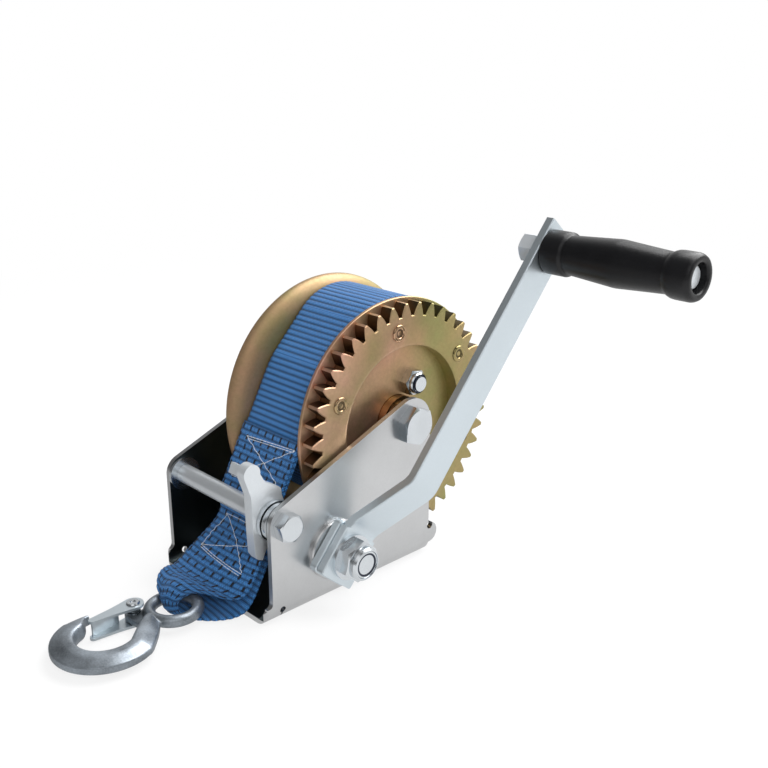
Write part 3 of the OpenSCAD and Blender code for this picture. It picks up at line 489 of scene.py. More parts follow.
def moulded(name, groups, colour, rough):
    """Moulded plastic: near-even colour with a fine pebbled surface."""
    material, tree, shader = new_material(name)
    noise = node_in(tree, "ShaderNodeGroup", {"Vector": object_vector(tree), "Scale": 1.4},
                    node_tree=groups["plating"])
    pale = tuple(min(1.0, c * 1.5 + 0.001) for c in colour)
    tree.links.new(mix_colour(tree, noise.outputs["Cloud"], tuple(colour), pale), shader.inputs["Base Color"])
    tree.links.new(spread(tree, noise.outputs["Grain"], 0.0, 1.0, rough - 0.06, rough + 0.08),
                   shader.inputs["Roughness"])
    shader.inputs["Specular IOR Level"].default_value = 0.32
    bump_on(tree, shader, noise.outputs["Grain"], 0.00002)
    return material


def sewn(name, groups, colour):
    """Twisted white thread: pale colour with small dark flecks."""
    material, tree, shader = new_material(name)
    noise = node_in(tree, "ShaderNodeGroup", {"Vector": object_vector(tree), "Scale": 2.0},
                    node_tree=groups["plating"])
    tree.links.new(mix_colour(tree, noise.outputs["Grain"], tuple(c * 0.7 for c in colour), tuple(colour)),
                   shader.inputs["Base Color"])
    shader.inputs["Roughness"].default_value = 0.7
    return material


# Materials by finish, filled by the operator below.
FINISH = {}


class WinchFinishOperator(bpy.types.Operator):
    """Makes the finishes and puts them on the CAD nodes that stay in view"""

    bl_idname = "winch.finishes"
    bl_label = "Finishes"

    def execute(self, context):
        tones = context.scene.winch_finishes
        groups = {"plating": plating_group(), "weave": weave_group()}
        pitch = context.scene.winch_sizes.rib_pitch / MM
        FINISH.update(
            # The sheet paints shade on the frame channel's inner faces.
            sheet=plated("sheet_zinc", groups, tones.sheet, 0.3, 0.02, 1.0, 0.05, shade_half_width=0.0422),
            crank=plated("crank_zinc", groups, tones.crank, 0.34, 0.015, 0.8, 0.03, metal=0.91),
            hardware=plated("hardware_zinc", groups, tones.hardware, 0.2, 0.05, 1.6, 0.06),
            pawl=plated("pawl_zinc", groups, tones.hardware, 0.36, 0.05, 1.2, 0.05, metal=0.6),
            rod=plated("rod_zinc", groups, tones.hardware, 0.32, 0.02, 0.8, 0.03, 0.0, metal=0.75),
            forged=plated("forged_zinc", groups, tones.forged, 0.39, 0.08, 1.3, 0.34, 0.00002, metal=0.88),
            yellow=yellow_plated("yellow_zinc", groups, tones, metal=0.85),
            rolled=yellow_plated("yellow_zinc_rolled", groups, tones, 0.85, 0.47, 0.3, 0.75),
            bush=yellow_plated("yellow_zinc_bush", groups, tones, 1.0, 0.16),
            # Painted shade: the yellow plating darkened to 0.3, for the gaps between the gear's teeth and the
            # rivets' hollows.
            flank=yellow_plated("yellow_zinc_flank", groups, tones, 0.3),
            strap=webbing("webbing_plain", groups, tones, pitch, False),
            flap=webbing("webbing_dashed", groups, tones, pitch, True),
            plastic=moulded("grip_plastic", groups, tones.plastic, 0.34),
            nylon=moulded("lock_nylon", groups, tones.nylon, 0.4),
            thread=sewn("sewing_thread", groups, tones.thread),
        )
        by_slot = {"sheet_zinc": "sheet", "hardware_zinc": "hardware", "crank_zinc": "crank",
                   "yellow_zinc": "yellow", "webbing": "strap", "forged_zinc": "forged",
                   "grip_plastic": "plastic"}
        for part in frame["record"]["subparts"]:
            piece = frame["nodes"][part["node"]]
            piece.data.materials.clear()
            piece.data.materials.append(FINISH[by_slot[part["material_slot"]]])
        own_finish = {"pawl": "pawl", "grip_retainer": "pawl", "grip_bolt": "pawl", "tie_spacer_tube": "rod",
                      "drum_hub_tube": "bush"}
        for node, finish in own_finish.items():
            slots = frame["nodes"][node].data.materials
            slots.clear()
            slots.append(FINISH[finish])
        return {"FINISHED"}


def rib_wave(along, pitch, height):
    """Rib profile along a strap: height times (|sin(pi v / pitch)|^0.6 - 1), so crests sit at zero."""
    return height * (np.abs(np.sin(np.pi * along / pitch)) ** 0.6 - 1)


def sheet_mesh(name, middle, along, sizes):
    """Strap round a middle surface m(v, u): each face is m + n f (t h(u) + rib(v)) for f = 1 and -1.

    n is the cross product of the grid's two directions, and h thins towards both selvedges.
    """
    selvedge, thin = 1.8, 0.45
    rows, columns = middle.shape[:2]
    u = np.linspace(-0.5, 0.5, columns)
    edge = np.clip((0.5 - np.abs(u)) * STRAP_W / selvedge, 0, 1)
    half = STRAP_T / 2 * (thin + (1 - thin) * np.sqrt(edge * (2 - edge)))
    normal = np.cross(np.gradient(middle, axis=0), np.gradient(middle, axis=1))
    normal /= np.linalg.norm(normal, axis=2)[..., None]
    rib = rib_wave(along, sizes.rib_pitch / MM, sizes.rib_height / MM)
    offset = normal * (half[None, :] + rib[:, None])[..., None]
    points = np.concatenate([(middle + offset)[:, ::-1], middle - offset], 1)
    count = 2 * columns
    u_mm = np.concatenate([u[::-1], u, u[-1:]]) * STRAP_W
    flat = np.stack(np.broadcast_arrays(u_mm[None, :], along[:, None]), -1)
    corner_uv = np.stack([flat[:-1, :-1], flat[:-1, 1:], flat[1:, 1:], flat[1:, :-1]], 2)
    uv = np.concatenate([corner_uv.reshape(-1, 2), np.zeros((2 * count, 2))])
    back = np.concatenate([np.tile(np.arange(count) >= columns, rows - 1), [False, False]])
    return add_mesh(name, points, tube_faces(rows, count), uv, back), points[:, columns:]


class WinchWindingOperator(bpy.types.Operator):
    """Packs the strap's inner turns round the drum's hub"""

    bl_idname = "winch.winding"
    bl_label = "Inner turns"

    def execute(self, context):
        layers, groove, stretch = 22, 0.35, 4
        radii = np.linspace(HUB_R, CORE_R, layers * 4 + 1)
        dip = groove * np.abs(np.cos(np.pi * layers * (radii - HUB_R) / (CORE_R - HUB_R))) ** 3
        left = np.stack([radii, STRAP_X0 + dip], 1)
        right = np.stack([radii, STRAP_X0 + STRAP_W - dip], 1)
        core = turned("strap_inner_turns", AXLE, np.vstack([left, right[::-1]])[::-1], steps=120)
        layer = core.data.uv_layers.new(name="cloth")
        where = np.zeros(len(core.data.vertices) * 3)
        core.data.vertices.foreach_get("co", where)
        where = where.reshape(-1, 3)
        corner = np.zeros(len(core.data.loops), np.int32)
        core.data.loops.foreach_get("vertex_index", corner)
        radius = np.hypot(where[:, 1] - AXLE[0] * MM, where[:, 2] - AXLE[1] * MM)
        flat = np.stack([where[:, 0] / MM, radius / MM * stretch], 1)[corner]
        layer.data.foreach_set("uv", flat.astype(np.float32).ravel())
        core.data.materials.append(FINISH["strap"])
        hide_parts("strap_core")
        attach(core, "drum")
        return {"FINISHED"}


# Rows of the strap's middle surface, each [x, y from the plates' front edge, z] at its left edge, its middle
# and its right edge. The back layer runs from the tie rod down to the floor and under the hook's eye.
BACK_ROWS = [
    [-16.25, 15.8, 44, 6.75, 15.6, 44, 29.75, 15.4, 44],
    [-16.25, 15.4, 39, 6.75, 14.9, 39, 29.75, 14.6, 39],
    [-16.25, 13.6, 33, 6.75, 12.8, 33, 29.75, 12.8, 33.2],
    [-16.25, 10.2, 27, 6.75, 9.8, 26.6, 29.75, 10.2, 26.8],
    [-16.25, 6.4, 21.4, 6.75, 6.2, 20.4, 29.75, 6.8, 20],
    [-16.25, 2.6, 16, 6.75, 2.6, 14.4, 29.75, 3, 13.4],
    [-16.25, -1, 11, 6.75, -0.8, 9, 29.75, -0.8, 7.6],
    [-16, -4.8, 6, 6.75, -4.8, 4.6, 29.4, -5.4, 3.2],
    [-14.8, -9.6, 2.4, 6.7, -9.8, 1.9, 28, -11, 1.6],
    [-12, -15, 1.5, 6.4, -15.4, 1.4, 25, -17, 1.4],
    [-7.6, -20.6, 1.35, 6, -20.8, 1.35, 20.4, -22.4, 1.4],
    [-3, -25.6, 1.5, 5.6, -25.8, 1.4, 15.2, -26.2, 1.5]]
# The front layer comes up through the eye, rolls back over its bar and rises to the tie rod.
FRONT_ROWS = [
    [-0.6, -29.6, 2.6, 5, -30.4, 2, 10.4, -28.6, 2.4],
    [-0.8, -32.2, 5.2, 3.4, -33.4, 4.4, 7.6, -30, 5],
    [-2.4, -33, 9, 2, -34, 7.6, 6.8, -29.8, 8],
    [-7.6, -32, 12.2, 0.4, -32.8, 11.4, 7, -27.4, 10.6],
    [-12.2, -28.8, 14.2, -1.2, -29.8, 14.6, 8.8, -22.4, 12],
    [-14.4, -25.2, 16, -1, -25.4, 16.4, 13.6, -17.4, 11.4],
    [-15.2, -21.4, 16.8, 1.6, -20.6, 15.8, 20.4, -12.8, 9.8],
    [-15.6, -17.6, 16.4, 4.2, -16.4, 14.6, 25.6, -8.4, 9.4],
    [-15.9, -14, 17.6, 5.6, -12.6, 15.4, 28.2, -4.8, 11.2],
    [-16, -10, 20.4, 6.4, -8.4, 18.2, 29.1, -1.6, 14.6],
    [-16.1, -5.6, 23, 6.7, -4.2, 21, 29.5, 1.2, 18.8],
    [-16.2, -1.2, 25.6, 6.75, -0.2, 24.3, 29.7, 3.6, 23.2],
    [-16.25, 3.2, 28.2, 6.75, 3.6, 27.9, 29.75, 5.6, 27.6],
    [-16.25, 7.6, 31, 6.75, 7.2, 31.6, 29.75, 7.6, 32],
    [-16.25, 11.8, 34.6, 6.75, 10.6, 35.6, 29.75, 9.8, 36.4],
    [-16.25, 13.9, 39.2, 6.75, 12.9, 39.9, 29.75, 11.9, 40.4],
    [-16.25, 14.1, 44, 6.75, 13.8, 44.2, 29.75, 13.4, 44.4]]


def full_width(flat):
    """Rows of the strap at its full width from points [y, z] of its middle line."""
    places = STRAP_X0 + STRAP_W * np.array([0, 0.5, 1])
    return np.hstack([np.column_stack([np.full(len(flat), x), flat]) for x in places])


def strap_rows():
    """Rows of the whole strap in order: last turn, straight run, back layer, front layer and flap.

    At angle a the turn is at the further of R n and C + Rc n from the axle, less the rise still to come.
    """
    sweep = np.linspace(0, TURN_SWEEP, 197)
    angle = LEAVE_ANGLE + np.radians(sweep - TURN_SWEEP)
    normal = np.stack([np.cos(angle), np.sin(angle)], 1)
    inset = (TURN_RISE * (sweep - TURN_SWEEP) / 360 - STRAP_T / 2)[:, None]
    over = (normal @ CREST + CREST_R > COIL_R)[:, None]
    turn = AXLE + np.where(over, CREST + (CREST_R + inset) * normal, (COIL_R + inset) * normal)
    start = AXLE + RUN_R * LEAVE
    run = start + np.linspace(7, 65, 9)[:, None] * DOWN
    flap = start + LAYER_STEP * LEAVE + np.linspace(66.5, FLAP_START, 7)[:, None] * DOWN
    lower = np.array(BACK_ROWS + FRONT_ROWS, float)
    lower[:, 1::3] += FRONT_Y
    return np.vstack([full_width(turn), full_width(run), lower, full_width(flap)])


class WinchStrapOperator(bpy.types.Operator):
    """Lays the strap: last turn, run behind the tie rod, loop through the hook's eye and sewn flap"""

    bl_idname = "winch.strap"
    bl_label = "Strap"

    def execute(self, context):
        sizes = context.scene.winch_sizes
        row_step, columns, ripple = 0.46, 29, 0.9
        line, along = smooth_line(strap_rows(), row_step, slice(3, 6))
        # Each row is the parabola through its three points, with a ripple where the loop is gathered.
        u = np.linspace(-1, 1, columns)[None, :, None]
        left, middle, right = (line[:, None, k:k + 3] for k in (0, 3, 6))
        surface = left * u * (u - 1) / 2 + middle * (1 - u * u) + right * u * (u + 1) / 2
        chord = np.linalg.norm(line[:, 6:9] - line[:, 0:3], axis=1)
        gather = np.clip((STRAP_W - 2 - chord) / 20, 0, 1)[:, None]
        high = np.clip((line[:, 5:6] - 5) / 6, 0, 1)
        surface[..., 2] += ripple * gather * high * np.sin(5.2 * u[..., 0] + 0.6)
        strap, front = sheet_mesh("strap_webbing", surface, along, sizes)
        strap.data.materials.append(FINISH["strap"])
        strap.data.materials.append(FINISH["flap"])
        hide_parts("strap_outer_turn", "strap_tail")
        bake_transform(strap)
        self.sew(front, along, sizes)
        return {"FINISHED"}

    def sew(self, front, along, sizes):
        """Thread on the flap: tubes along runs [across, distance from the flap's end], on the front face.

        Three runs sew the upper box and four the lower one, and each wavers by two small sines.
        """
        columns = front.shape[1]
        length = along[-1]
        sides, stitches = 6, 44
        radius = sizes.thread_radius / MM
        runs = [
            [(-0.36, 6.9), (0.46, 4.2), (0.45, 5.3), (-0.31, 8.0)],
            [(-0.36, 7.0), (0.0, 14.9), (0.35, 22.6), (0.45, 27.5), (-0.38, 29.0)],
            [(0.46, 4.6), (-0.03, 19.3), (-0.38, 28.6)],
            [(0.42, 48.6), (-0.13, 48.8), (-0.32, 49.2), (-0.38, 60.0), (-0.37, 70.0), (0.33, 73.6)],
            [(-0.31, 49.6), (0.03, 58.9), (0.2, 66.0), (0.32, 73.0)],
            [(-0.36, 69.6), (0.22, 59.4), (0.42, 49.6)],
            [(-0.35, 71.2), (0.31, 74.8)]]
        ring = np.linspace(0, 2 * np.pi, sides, endpoint=False)
        outward = np.cross(np.gradient(front, axis=1), np.gradient(front, axis=0))
        outward /= np.linalg.norm(outward, axis=2)[..., None]
        tubes, faces, start = [], [], 0
        for turn, run in enumerate(runs):
            stops = np.array(run)
            pieces = np.linspace(stops[:-1], stops[1:], stitches, endpoint=False, axis=1).reshape(-1, 2)
            line = np.vstack([pieces, stops[-1:]])
            count = len(line)
            step = np.arange(count)
            line[:, 0] += 0.007 * np.sin(step * 0.37 + turn) + 0.004 * np.sin(step * 1.9)
            row = np.interp(length - line[:, 1], along, np.arange(len(along)))
            column = np.clip((line[:, 0] + 0.5) * (columns - 1), 0, columns - 1.001)
            r0, c0 = np.minimum(row.astype(int), len(along) - 2), column.astype(int)
            fr, fc = (row - r0)[:, None], (column - c0)[:, None]
            at = ((1 - fr) * (1 - fc) * front[r0, c0] + (1 - fr) * fc * front[r0, c0 + 1]
                  + fr * (1 - fc) * front[r0 + 1, c0] + fr * fc * front[r0 + 1, c0 + 1])
            rise = outward[r0, c0]
            at = at + rise * (0.02 + 0.2 * np.sin(step * 1.9))[:, None]
            tangent = np.gradient(at, axis=0)
            tangent /= np.linalg.norm(tangent, axis=1)[:, None]
            side = np.cross(tangent, rise)
            side /= np.linalg.norm(side, axis=1)[:, None]
            rise = np.cross(side, tangent)
            tube = at[:, None] + radius * (np.cos(ring)[None, :, None] * side[:, None]
                                           + np.sin(ring)[None, :, None] * rise[:, None])
            tubes.append(tube.reshape(-1, 3))
            faces += tube_faces(count, sides, start)
            start += count * sides
        thread = add_mesh("strap_sewing", np.vstack(tubes), faces)
        thread.data.materials.append(FINISH["thread"])
        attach(thread, "root")


def hook_shells():
    """Shells of the forging, each a grid and whether its rows close: bar, round eye and latch lug.

    The bar is a wedge profile [w, t] carried along the hook's line: line + side w width, z + t thickness.
    The eye is a torus, ((R + r cos b) cos a, (R + r cos b) sin a, r sin b).
    """
    # Rows of the hook's line are [x, y, width, thickness], down the neck and then round the bowl.
    bowl = np.linspace(30, -189, 64)
    neck = [[HOOK_X - 1.6, EYE_Y - 11.4, 3.6, 4.6], [HOOK_X + 1.2, EYE_Y - 13.2, 7.2, 6.6],
            [HOOK_X + 5.5, EYE_Y - 17, 10, 8.2], [HOOK_X + 11.5, EYE_Y - 22.4, 11.4, 9]]
    taper = np.clip((bowl + 192) / 30, 0.3, 1)
    radius = BOWL_R + 4.4 * (1 - taper)
    swell = 11.8 + 0.8 * np.exp(-((bowl + 100) / 50) ** 2)
    turn = np.radians(bowl)
    arc = np.column_stack([BOWL[0] + radius * np.cos(turn), BOWL[1] + radius * np.sin(turn), swell * taper,
                           9.4 * (0.4 + 0.6 * taper)])
    line, _ = smooth_line(np.vstack([neck, arc]), 0.7)
    heading = np.gradient(line[:, :2], axis=0)
    heading /= np.linalg.norm(heading, axis=1)[:, None]
    side = np.stack([-heading[:, 1], heading[:, 0]], 1)
    corner = rounded_profile([[-0.5, -0.14], [-0.38, -0.5], [0.02, -0.47], [0.46, -0.21], [0.5, -0.17],
                              [0.5, 0.17], [0.46, 0.21], [0.02, 0.47], [-0.38, 0.5], [-0.5, 0.14]], 0.15, 6)
    across = line[:, 2:3] * corner[None, :, 0]
    x = line[:, 0:1] + side[:, 0:1] * across
    y = line[:, 1:2] + side[:, 1:2] * across
    z = HOOK_Z + line[:, 3:4] * corner[None, :, 1]
    bar = np.stack(np.broadcast_arrays(x, y, z), -1)
    a = np.linspace(0, 2 * np.pi, 96, endpoint=False)[:, None]
    b = np.linspace(0, 2 * np.pi, 24, endpoint=False)[None, :]
    eye = np.stack(np.broadcast_arrays(HOOK_X + (EYE_R + 3.1 * np.cos(b)) * np.cos(a),
                                       EYE_Y + (EYE_R + 3.1 * np.cos(b)) * np.sin(a),
                                       HOOK_Z + 3.2 * np.sin(b)), -1)
    lug_line = np.array([[HOOK_X - 10, EYE_Y - 16.5, 4.5], [HOOK_X + 2.5, EYE_Y - 15.6, 4.1]])
    t = np.linspace(0, 2 * np.pi, 48, endpoint=False)
    far = np.where(np.cos(t) < 0, 0, 1)
    outline = np.stack([lug_line[far, 0] + lug_line[far, 2] * np.cos(t),
                        lug_line[far, 1] + lug_line[far, 2] * np.sin(t)], 1)
    lug = np.stack([np.column_stack([outline, np.full(len(t), z)]) for z in (2.7, 6.05)])
    return [(bar, False), (eye, True), (lug, False)]


def blended(name, shells, cell, smoothing):
    """One closed skin round several shells: cells of a given size, then relaxed, so joints get fillets."""
    points = np.vstack([grid.reshape(-1, 3) for grid, _ in shells])
    faces, start = [], 0
    for grid, looped in shells:
        rows, columns = grid.shape[:2]
        faces += ((grid_faces(rows, columns, True, True) + start).tolist() if looped
                  else tube_faces(rows, columns, start))
        start += rows * columns
    rough = add_mesh(name + "_shells", points, faces)
    remesh = rough.modifiers.new("cells", "REMESH")
    remesh.mode = "VOXEL"
    remesh.voxel_size = cell
    relax = rough.modifiers.new("relax", "SMOOTH")
    relax.factor = 0.5
    relax.iterations = smoothing
    bpy.context.view_layer.update()
    done = bpy.data.meshes.new_from_object(rough.evaluated_get(bpy.context.evaluated_depsgraph_get()))
    bpy.data.objects.remove(rough)
    done.name = name
    done.polygons.foreach_set("use_smooth", np.ones(len(done.polygons), bool))
    piece = bpy.data.objects.new(name, done)
    bpy.context.scene.collection.objects.link(piece)
    return piece


class WinchHookOperator(bpy.types.Operator):
    """Forges the snap hook as one blended skin"""

    bl_idname = "winch.hook"
    bl_label = "Hook"

    def execute(self, context):
        hook = blended("hook_body", hook_shells(), context.scene.winch_sizes.hook_cell, smoothing=5)
        hook.data.materials.clear()
        hook.data.materials.append(FINISH["forged"])
        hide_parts("hook")
        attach(hook, "hook")
        return {"FINISHED"}


def tooth_outline(teeth, phase, root, tip, steps, module=3.0, pressure=25.0, backlash=0.4):
    """Involute outline, up and down each tooth, as radii and angles.

    The half angle at r is pi/2n + inv(p) - inv(acos(rb/r)) - backlash/(4 rp), with inv(a) = tan a - a.
    """
    pitch_r = module * teeth / 2
    p = math.radians(pressure)
    radii = np.linspace(root, tip, steps)
    a = np.arccos(np.minimum(1, pitch_r * math.cos(p) / radii))
    half = np.pi / 2 / teeth + (math.tan(p) - p) - (np.tan(a) - a) - backlash / 4 / pitch_r
    r = np.concatenate([radii, radii[::-1]])
    turn = np.concatenate([-half, half[::-1]])
    middle = np.radians(phase) + 2 * np.pi * np.arange(teeth)[:, None] / teeth
    return np.broadcast_to(r, (teeth, len(r))).ravel(), (middle + turn[None, :]).ravel()


class WinchGearOperator(bpy.types.Operator):
    """Cuts the drum gear with broken tooth edges and a rounded centre hole"""

    bl_idname = "winch.gear"
    bl_label = "Drum gear"

    def execute(self, context):
        chamfer = context.scene.winch_sizes.tooth_chamfer / MM
        low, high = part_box("gear_ring")
        x0, x1 = low.x / MM, high.x / MM
        r, a = tooth_outline(GEAR_TEETH, GEAR_PHASE, TOOTH_ROOT, TOOTH_TIP, TOOTH_STEPS)
        flat = np.stack([r * np.cos(a), r * np.sin(a)], 1)
        along = np.roll(flat, -1, 0) - np.roll(flat, 1, 0)
        inward = np.stack([-along[:, 1], along[:, 0]], 1)
        inward /= np.linalg.norm(inward, axis=1)[:, None]
        inset = flat + inward * chamfer
        spoke = flat / np.linalg.norm(flat, axis=1)[:, None]
        bend = [(0.0, x0), (0.0, x1 - 1.6), (0.35, x1 - 0.7), (1.1, x1 - 0.18), (2.2, x1)]
        rings = [(spoke * (GEAR_HOLE + out), xx) for out, xx in bend]
        web, cut = spoke * 55.5, len(bend) + 2
        rings += [(web, x1), (inset, x1), (flat, x1 - chamfer), (flat, x0 + chamfer), (inset, x0), (web, x0)]
        points = np.stack([np.column_stack([np.full(len(flat), xx), AXLE + ring]) for ring, xx in rings])
        flank = np.zeros((len(rings), len(flat)), int)
        # Painted shade: the tooth flank faces, though not their top lands, take the darkened yellow in the
        # gaps between teeth.
        flank[cut] = np.arange(len(flat)) % (2 * TOOTH_STEPS) != TOOTH_STEPS - 1
        gear = add_mesh("gear_wheel", points, grid_faces(len(rings), len(flat), True, True)[:, ::-1], None,
                        flank.ravel())
        shade_by_angle(gear, 32)
        gear.data.materials.append(FINISH["yellow"])
        gear.data.materials.append(FINISH["flank"])
        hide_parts("gear_ring")
        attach(gear, "drum")
        self.rivet(x1)
        return {"FINISHED"}

    def rivet(self, face):
        """Tubular rivet heads on the gear: one turned, dished profile repeated round the axle."""
        tail = 30.5
        profile = np.array([[0, tail], [2.5, tail], [2.5, face], [4.4, face], [4.6, face + 0.2],
                            [4.5, face + 0.5], [4.0, face + 0.85], [3.3, face + 0.9], [2.7, face + 0.75],
                            [2.4, face + 0.35], [1.3, face + 0.1], [0, face + 0.1]])
        steps, count = 36, len(profile)
        place = np.radians(RIVET_PHASE + 360 / RIVET_COUNT * np.arange(RIVET_COUNT))[:, None, None]
        a = np.linspace(0, 2 * np.pi, steps, endpoint=False)[None, :, None]
        y = AXLE[0] + RIVET_CIRCLE * np.cos(place) + profile[:, 0] * np.cos(a)
        z = AXLE[1] + RIVET_CIRCLE * np.sin(place) + profile[:, 0] * np.sin(a)
        points = np.stack(np.broadcast_arrays(profile[:, 1], y, z), -1)
        one = grid_faces(steps, count, True, False)
        faces = (np.arange(RIVET_COUNT)[:, None, None] * steps * count + one[None]).reshape(-1, 4)
        # Painted shade: the steep ring inside each rivet's hollow takes the darkened yellow.
        dish = np.tile(np.arange(count - 1) == count - 3, steps * RIVET_COUNT)
        rivets = add_mesh("rivet_heads", points, faces, None, dish)
        shade_by_angle(rivets, 40)
        rivets.data.materials.append(FINISH["bush"])
        rivets.data.materials.append(FINISH["flank"])
        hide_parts("gear_rivets")
        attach(rivets, "drum")


class WinchFlangeOperator(bpy.types.Operator):
    """Spins the flange whose rim rolls away from the strap"""

    bl_idname = "winch.flange"
    bl_label = "Rolled flange"

    def execute(self, context):
        low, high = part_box("rolled_flange")
        face, rim = high.x / MM, (high.y - low.y) / 2 / MM
        bore, curve, depth, thick, lip = 13.05, 11.0, 6.5, 2.0, low.x / MM
        t = np.radians(np.linspace(90, 0, 28))
        outer = np.stack([rim - curve + curve * np.cos(t), face - depth + depth * np.sin(t)], 1)
        inner = np.stack([rim - curve + (curve - thick) * np.cos(t),
                          face - depth + (depth - thick) * np.sin(t)], 1)
        hem = [[rim, lip + 0.5], [rim - 0.4, lip], [rim - thick + 0.4, lip], [rim - thick, lip + 0.5]]
        web = np.linspace(bore, rim - curve - 2, 10)
        profile = np.vstack([np.stack([web, np.full_like(web, face)], 1), outer, hem, inner[::-1],
                             np.stack([web[::-1], np.full_like(web, face - thick)], 1)])
        flange = turned("flange_rolled", AXLE, profile, context.scene.winch_sizes.turned_steps)
        shade_by_angle(flange, 40)
        flange.data.materials.append(FINISH["rolled"])
        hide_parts("rolled_flange")
        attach(flange, "drum")
        return {"FINISHED"}


class WinchGripOperator(bpy.types.Operator):
    """Moulds the turning grip on the crank"""

    bl_idname = "winch.grip"
    bl_label = "Grip"

    def execute(self, context):
        low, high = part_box("handle_grip")
        x0, x1 = low.x / MM, high.x / MM
        barrel, _ = smooth_line([[10.3, x0 + 14.6], [10.45, x0 + 17], [11.3, x0 + 29], [11.95, x0 + 38],
                                 [12.2, x0 + 42], [11.95, x0 + 46], [11.1, x0 + 58], [10.4, x0 + 68.4],
                                 [10.3, x0 + 70.6]], 1.2)
        bore, recess = 5.05, x1 - 7.5
        profile = np.vstack([
            [[bore, x0], [10.6, x0], [11.2, x0 + 0.35], [11.6, x0 + 1.2], [11.6, x0 + 11.6],
             [11.4, x0 + 12.2], [10.3, x0 + 12.7], [10.1, x0 + 13.2], [10.1, x0 + 13.9]],
            barrel,
            [[10.5, x0 + 71.2], [11.2, x0 + 72.4], [11.7, x0 + 73.8], [11.9, x0 + 75.6], [11.9, x1 - 3],
             [11.6, x1 - 1.8], [10.9, x1 - 0.5], [10.2, x1], [8.2, x1], [7.6, x1 - 0.4], [7.2, x1 - 1.2],
             [7.0, recess], [bore, recess]]])
        grip = turned("grip_moulding", GRIP, profile, context.scene.winch_sizes.turned_steps)
        shade_by_angle(grip, 48)
        grip.data.materials.append(FINISH["plastic"])
        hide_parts("handle_grip")
        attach(grip, "grip")
        return {"FINISHED"}


def crank_point(along, across, x):
    """Points on the crank: PINION + along (cos a, sin a) + across (-sin a, cos a) in Y and Z, at x."""
    c, k = unit_at(CRANK_ANGLE)
    y = PINION[0] + along * c - across * k
    z = PINION[1] + along * k + across * c
    return np.stack(np.broadcast_arrays(x, y, z), -1)


class WinchCrankOperator(bpy.types.Operator):
    """Bends the crank: a stepped flat bar with a square pad, on a backing plate"""

    bl_idname = "winch.crank"
    bl_label = "Crank"

    def execute(self, context):
        edge = context.scene.winch_sizes.edge_radius / MM
        self.bar(edge)
        self.backing(edge)
        return {"FINISHED"}

    def bar(self, edge):
        """Flat bar with broken edges, carried along a line that steps outwards in two arcs of one radius.

        At its pad it is wider, and one corner of its far end is rounded.
        """
        low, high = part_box("crank_arm")
        thick, half, corner_r = 5.0, 10.2, 9.0
        pad_x, step = low.x / MM + thick / 2, (high.x - low.x) / MM - thick
        bend_r, first, last, end = 11.0, 15.2, 46.0, 200.5
        slope = math.atan2(step, last - first)
        back = bend_r * math.tan(slope / 2)
        t = np.linspace(0, slope, 9)
        quarter = np.linspace(0, np.pi / 2, 12)
        head = np.array([-14.5, -14.35, -13.9, -13.2, -12.4, 11.2])
        tail = np.concatenate([[100.0, 190.0], end - corner_r * (1 - np.sin(quarter))])
        bend, rise = bend_r * np.sin(t), bend_r * (1 - np.cos(t))
        along = np.concatenate([head, first - back + bend, (last + back - bend)[::-1], tail])
        x = np.concatenate([np.full(len(head), pad_x), pad_x + rise, (pad_x + step - rise)[::-1],
                            np.full(len(tail), pad_x + step)])
        lean = np.concatenate([np.zeros(len(head)), t, t[::-1], np.zeros(len(tail))])
        side = np.full(len(along), half)
        side[:7] = [10.8, 11.5, 12.0, 12.22, 12.3, 12.3, 12.3]
        along, x, lean, side = (np.insert(v, 7, w) for v, w in (
            (along, along[6] + 0.5), (x, x[6] + 0.01), (lean, lean[6] + 0.04), (side, half)))
        lower = -side
        lower[-len(quarter):] = -half + corner_r * (1 - np.cos(quarter))
        upper = side.copy()
        upper[-1] = 9.4
        section = np.array([[0, -1, 0, edge], [0, -1, edge, 0], [1, -1, -edge, 0], [1, -1, 0, edge],
                            [1, 1, 0, -edge], [1, 1, -edge, 0], [0, 1, edge, 0], [0, 1, 0, -edge]])
        across = np.where(section[None, :, 0] > 0, upper[:, None], lower[:, None]) + section[None, :, 2]
        through = thick / 2 * section[None, :, 1] + section[None, :, 3]
        points = crank_point(along[:, None] - through * np.sin(lean)[:, None], across,
                             x[:, None] + through * np.cos(lean)[:, None])
        bar = add_mesh("crank_bar", points, tube_faces(len(along), len(section)))
        shade_by_angle(bar, 28)
        bar.data.materials.append(FINISH["crank"])
        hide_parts("crank_arm")
        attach(bar, "crank")

    def backing(self, edge):
        """Square plate behind the pad: a rounded outline carried through its thickness, with broken edges."""
        low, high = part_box("crank_hub_plate")
        x0, x1, r = low.x / MM, high.x / MM, 3.0
        left, right, top, reach = -15 + r, 13.9 - r, 12.9 - r, 14
        a = np.radians(np.linspace(0, 90, 7))
        quarter = r * np.stack([np.cos(a), np.sin(a)], 1)
        turns = [quarter, quarter[::-1] * [-1, 1], -quarter, quarter[::-1] * [1, -1]]
        centres = [[right, top], [left, top], [left, -top], [right, -top]]
        outline = np.vstack([q + c for q, c in zip(turns, centres)])
        inset = outline * (1 - edge / reach)
        rings = [(inset, x0), (outline, x0 + edge), (outline, x1 - edge), (inset, x1)]
        points = np.stack([crank_point(flat[:, 0], flat[:, 1], depth) for flat, depth in rings])
        plate = add_mesh("crank_backing", points, tube_faces(len(rings), len(outline)))
        shade_by_angle(plate, 28)
        plate.data.materials.append(FINISH["crank"])
        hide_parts("crank_hub_plate")
        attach(plate, "crank")


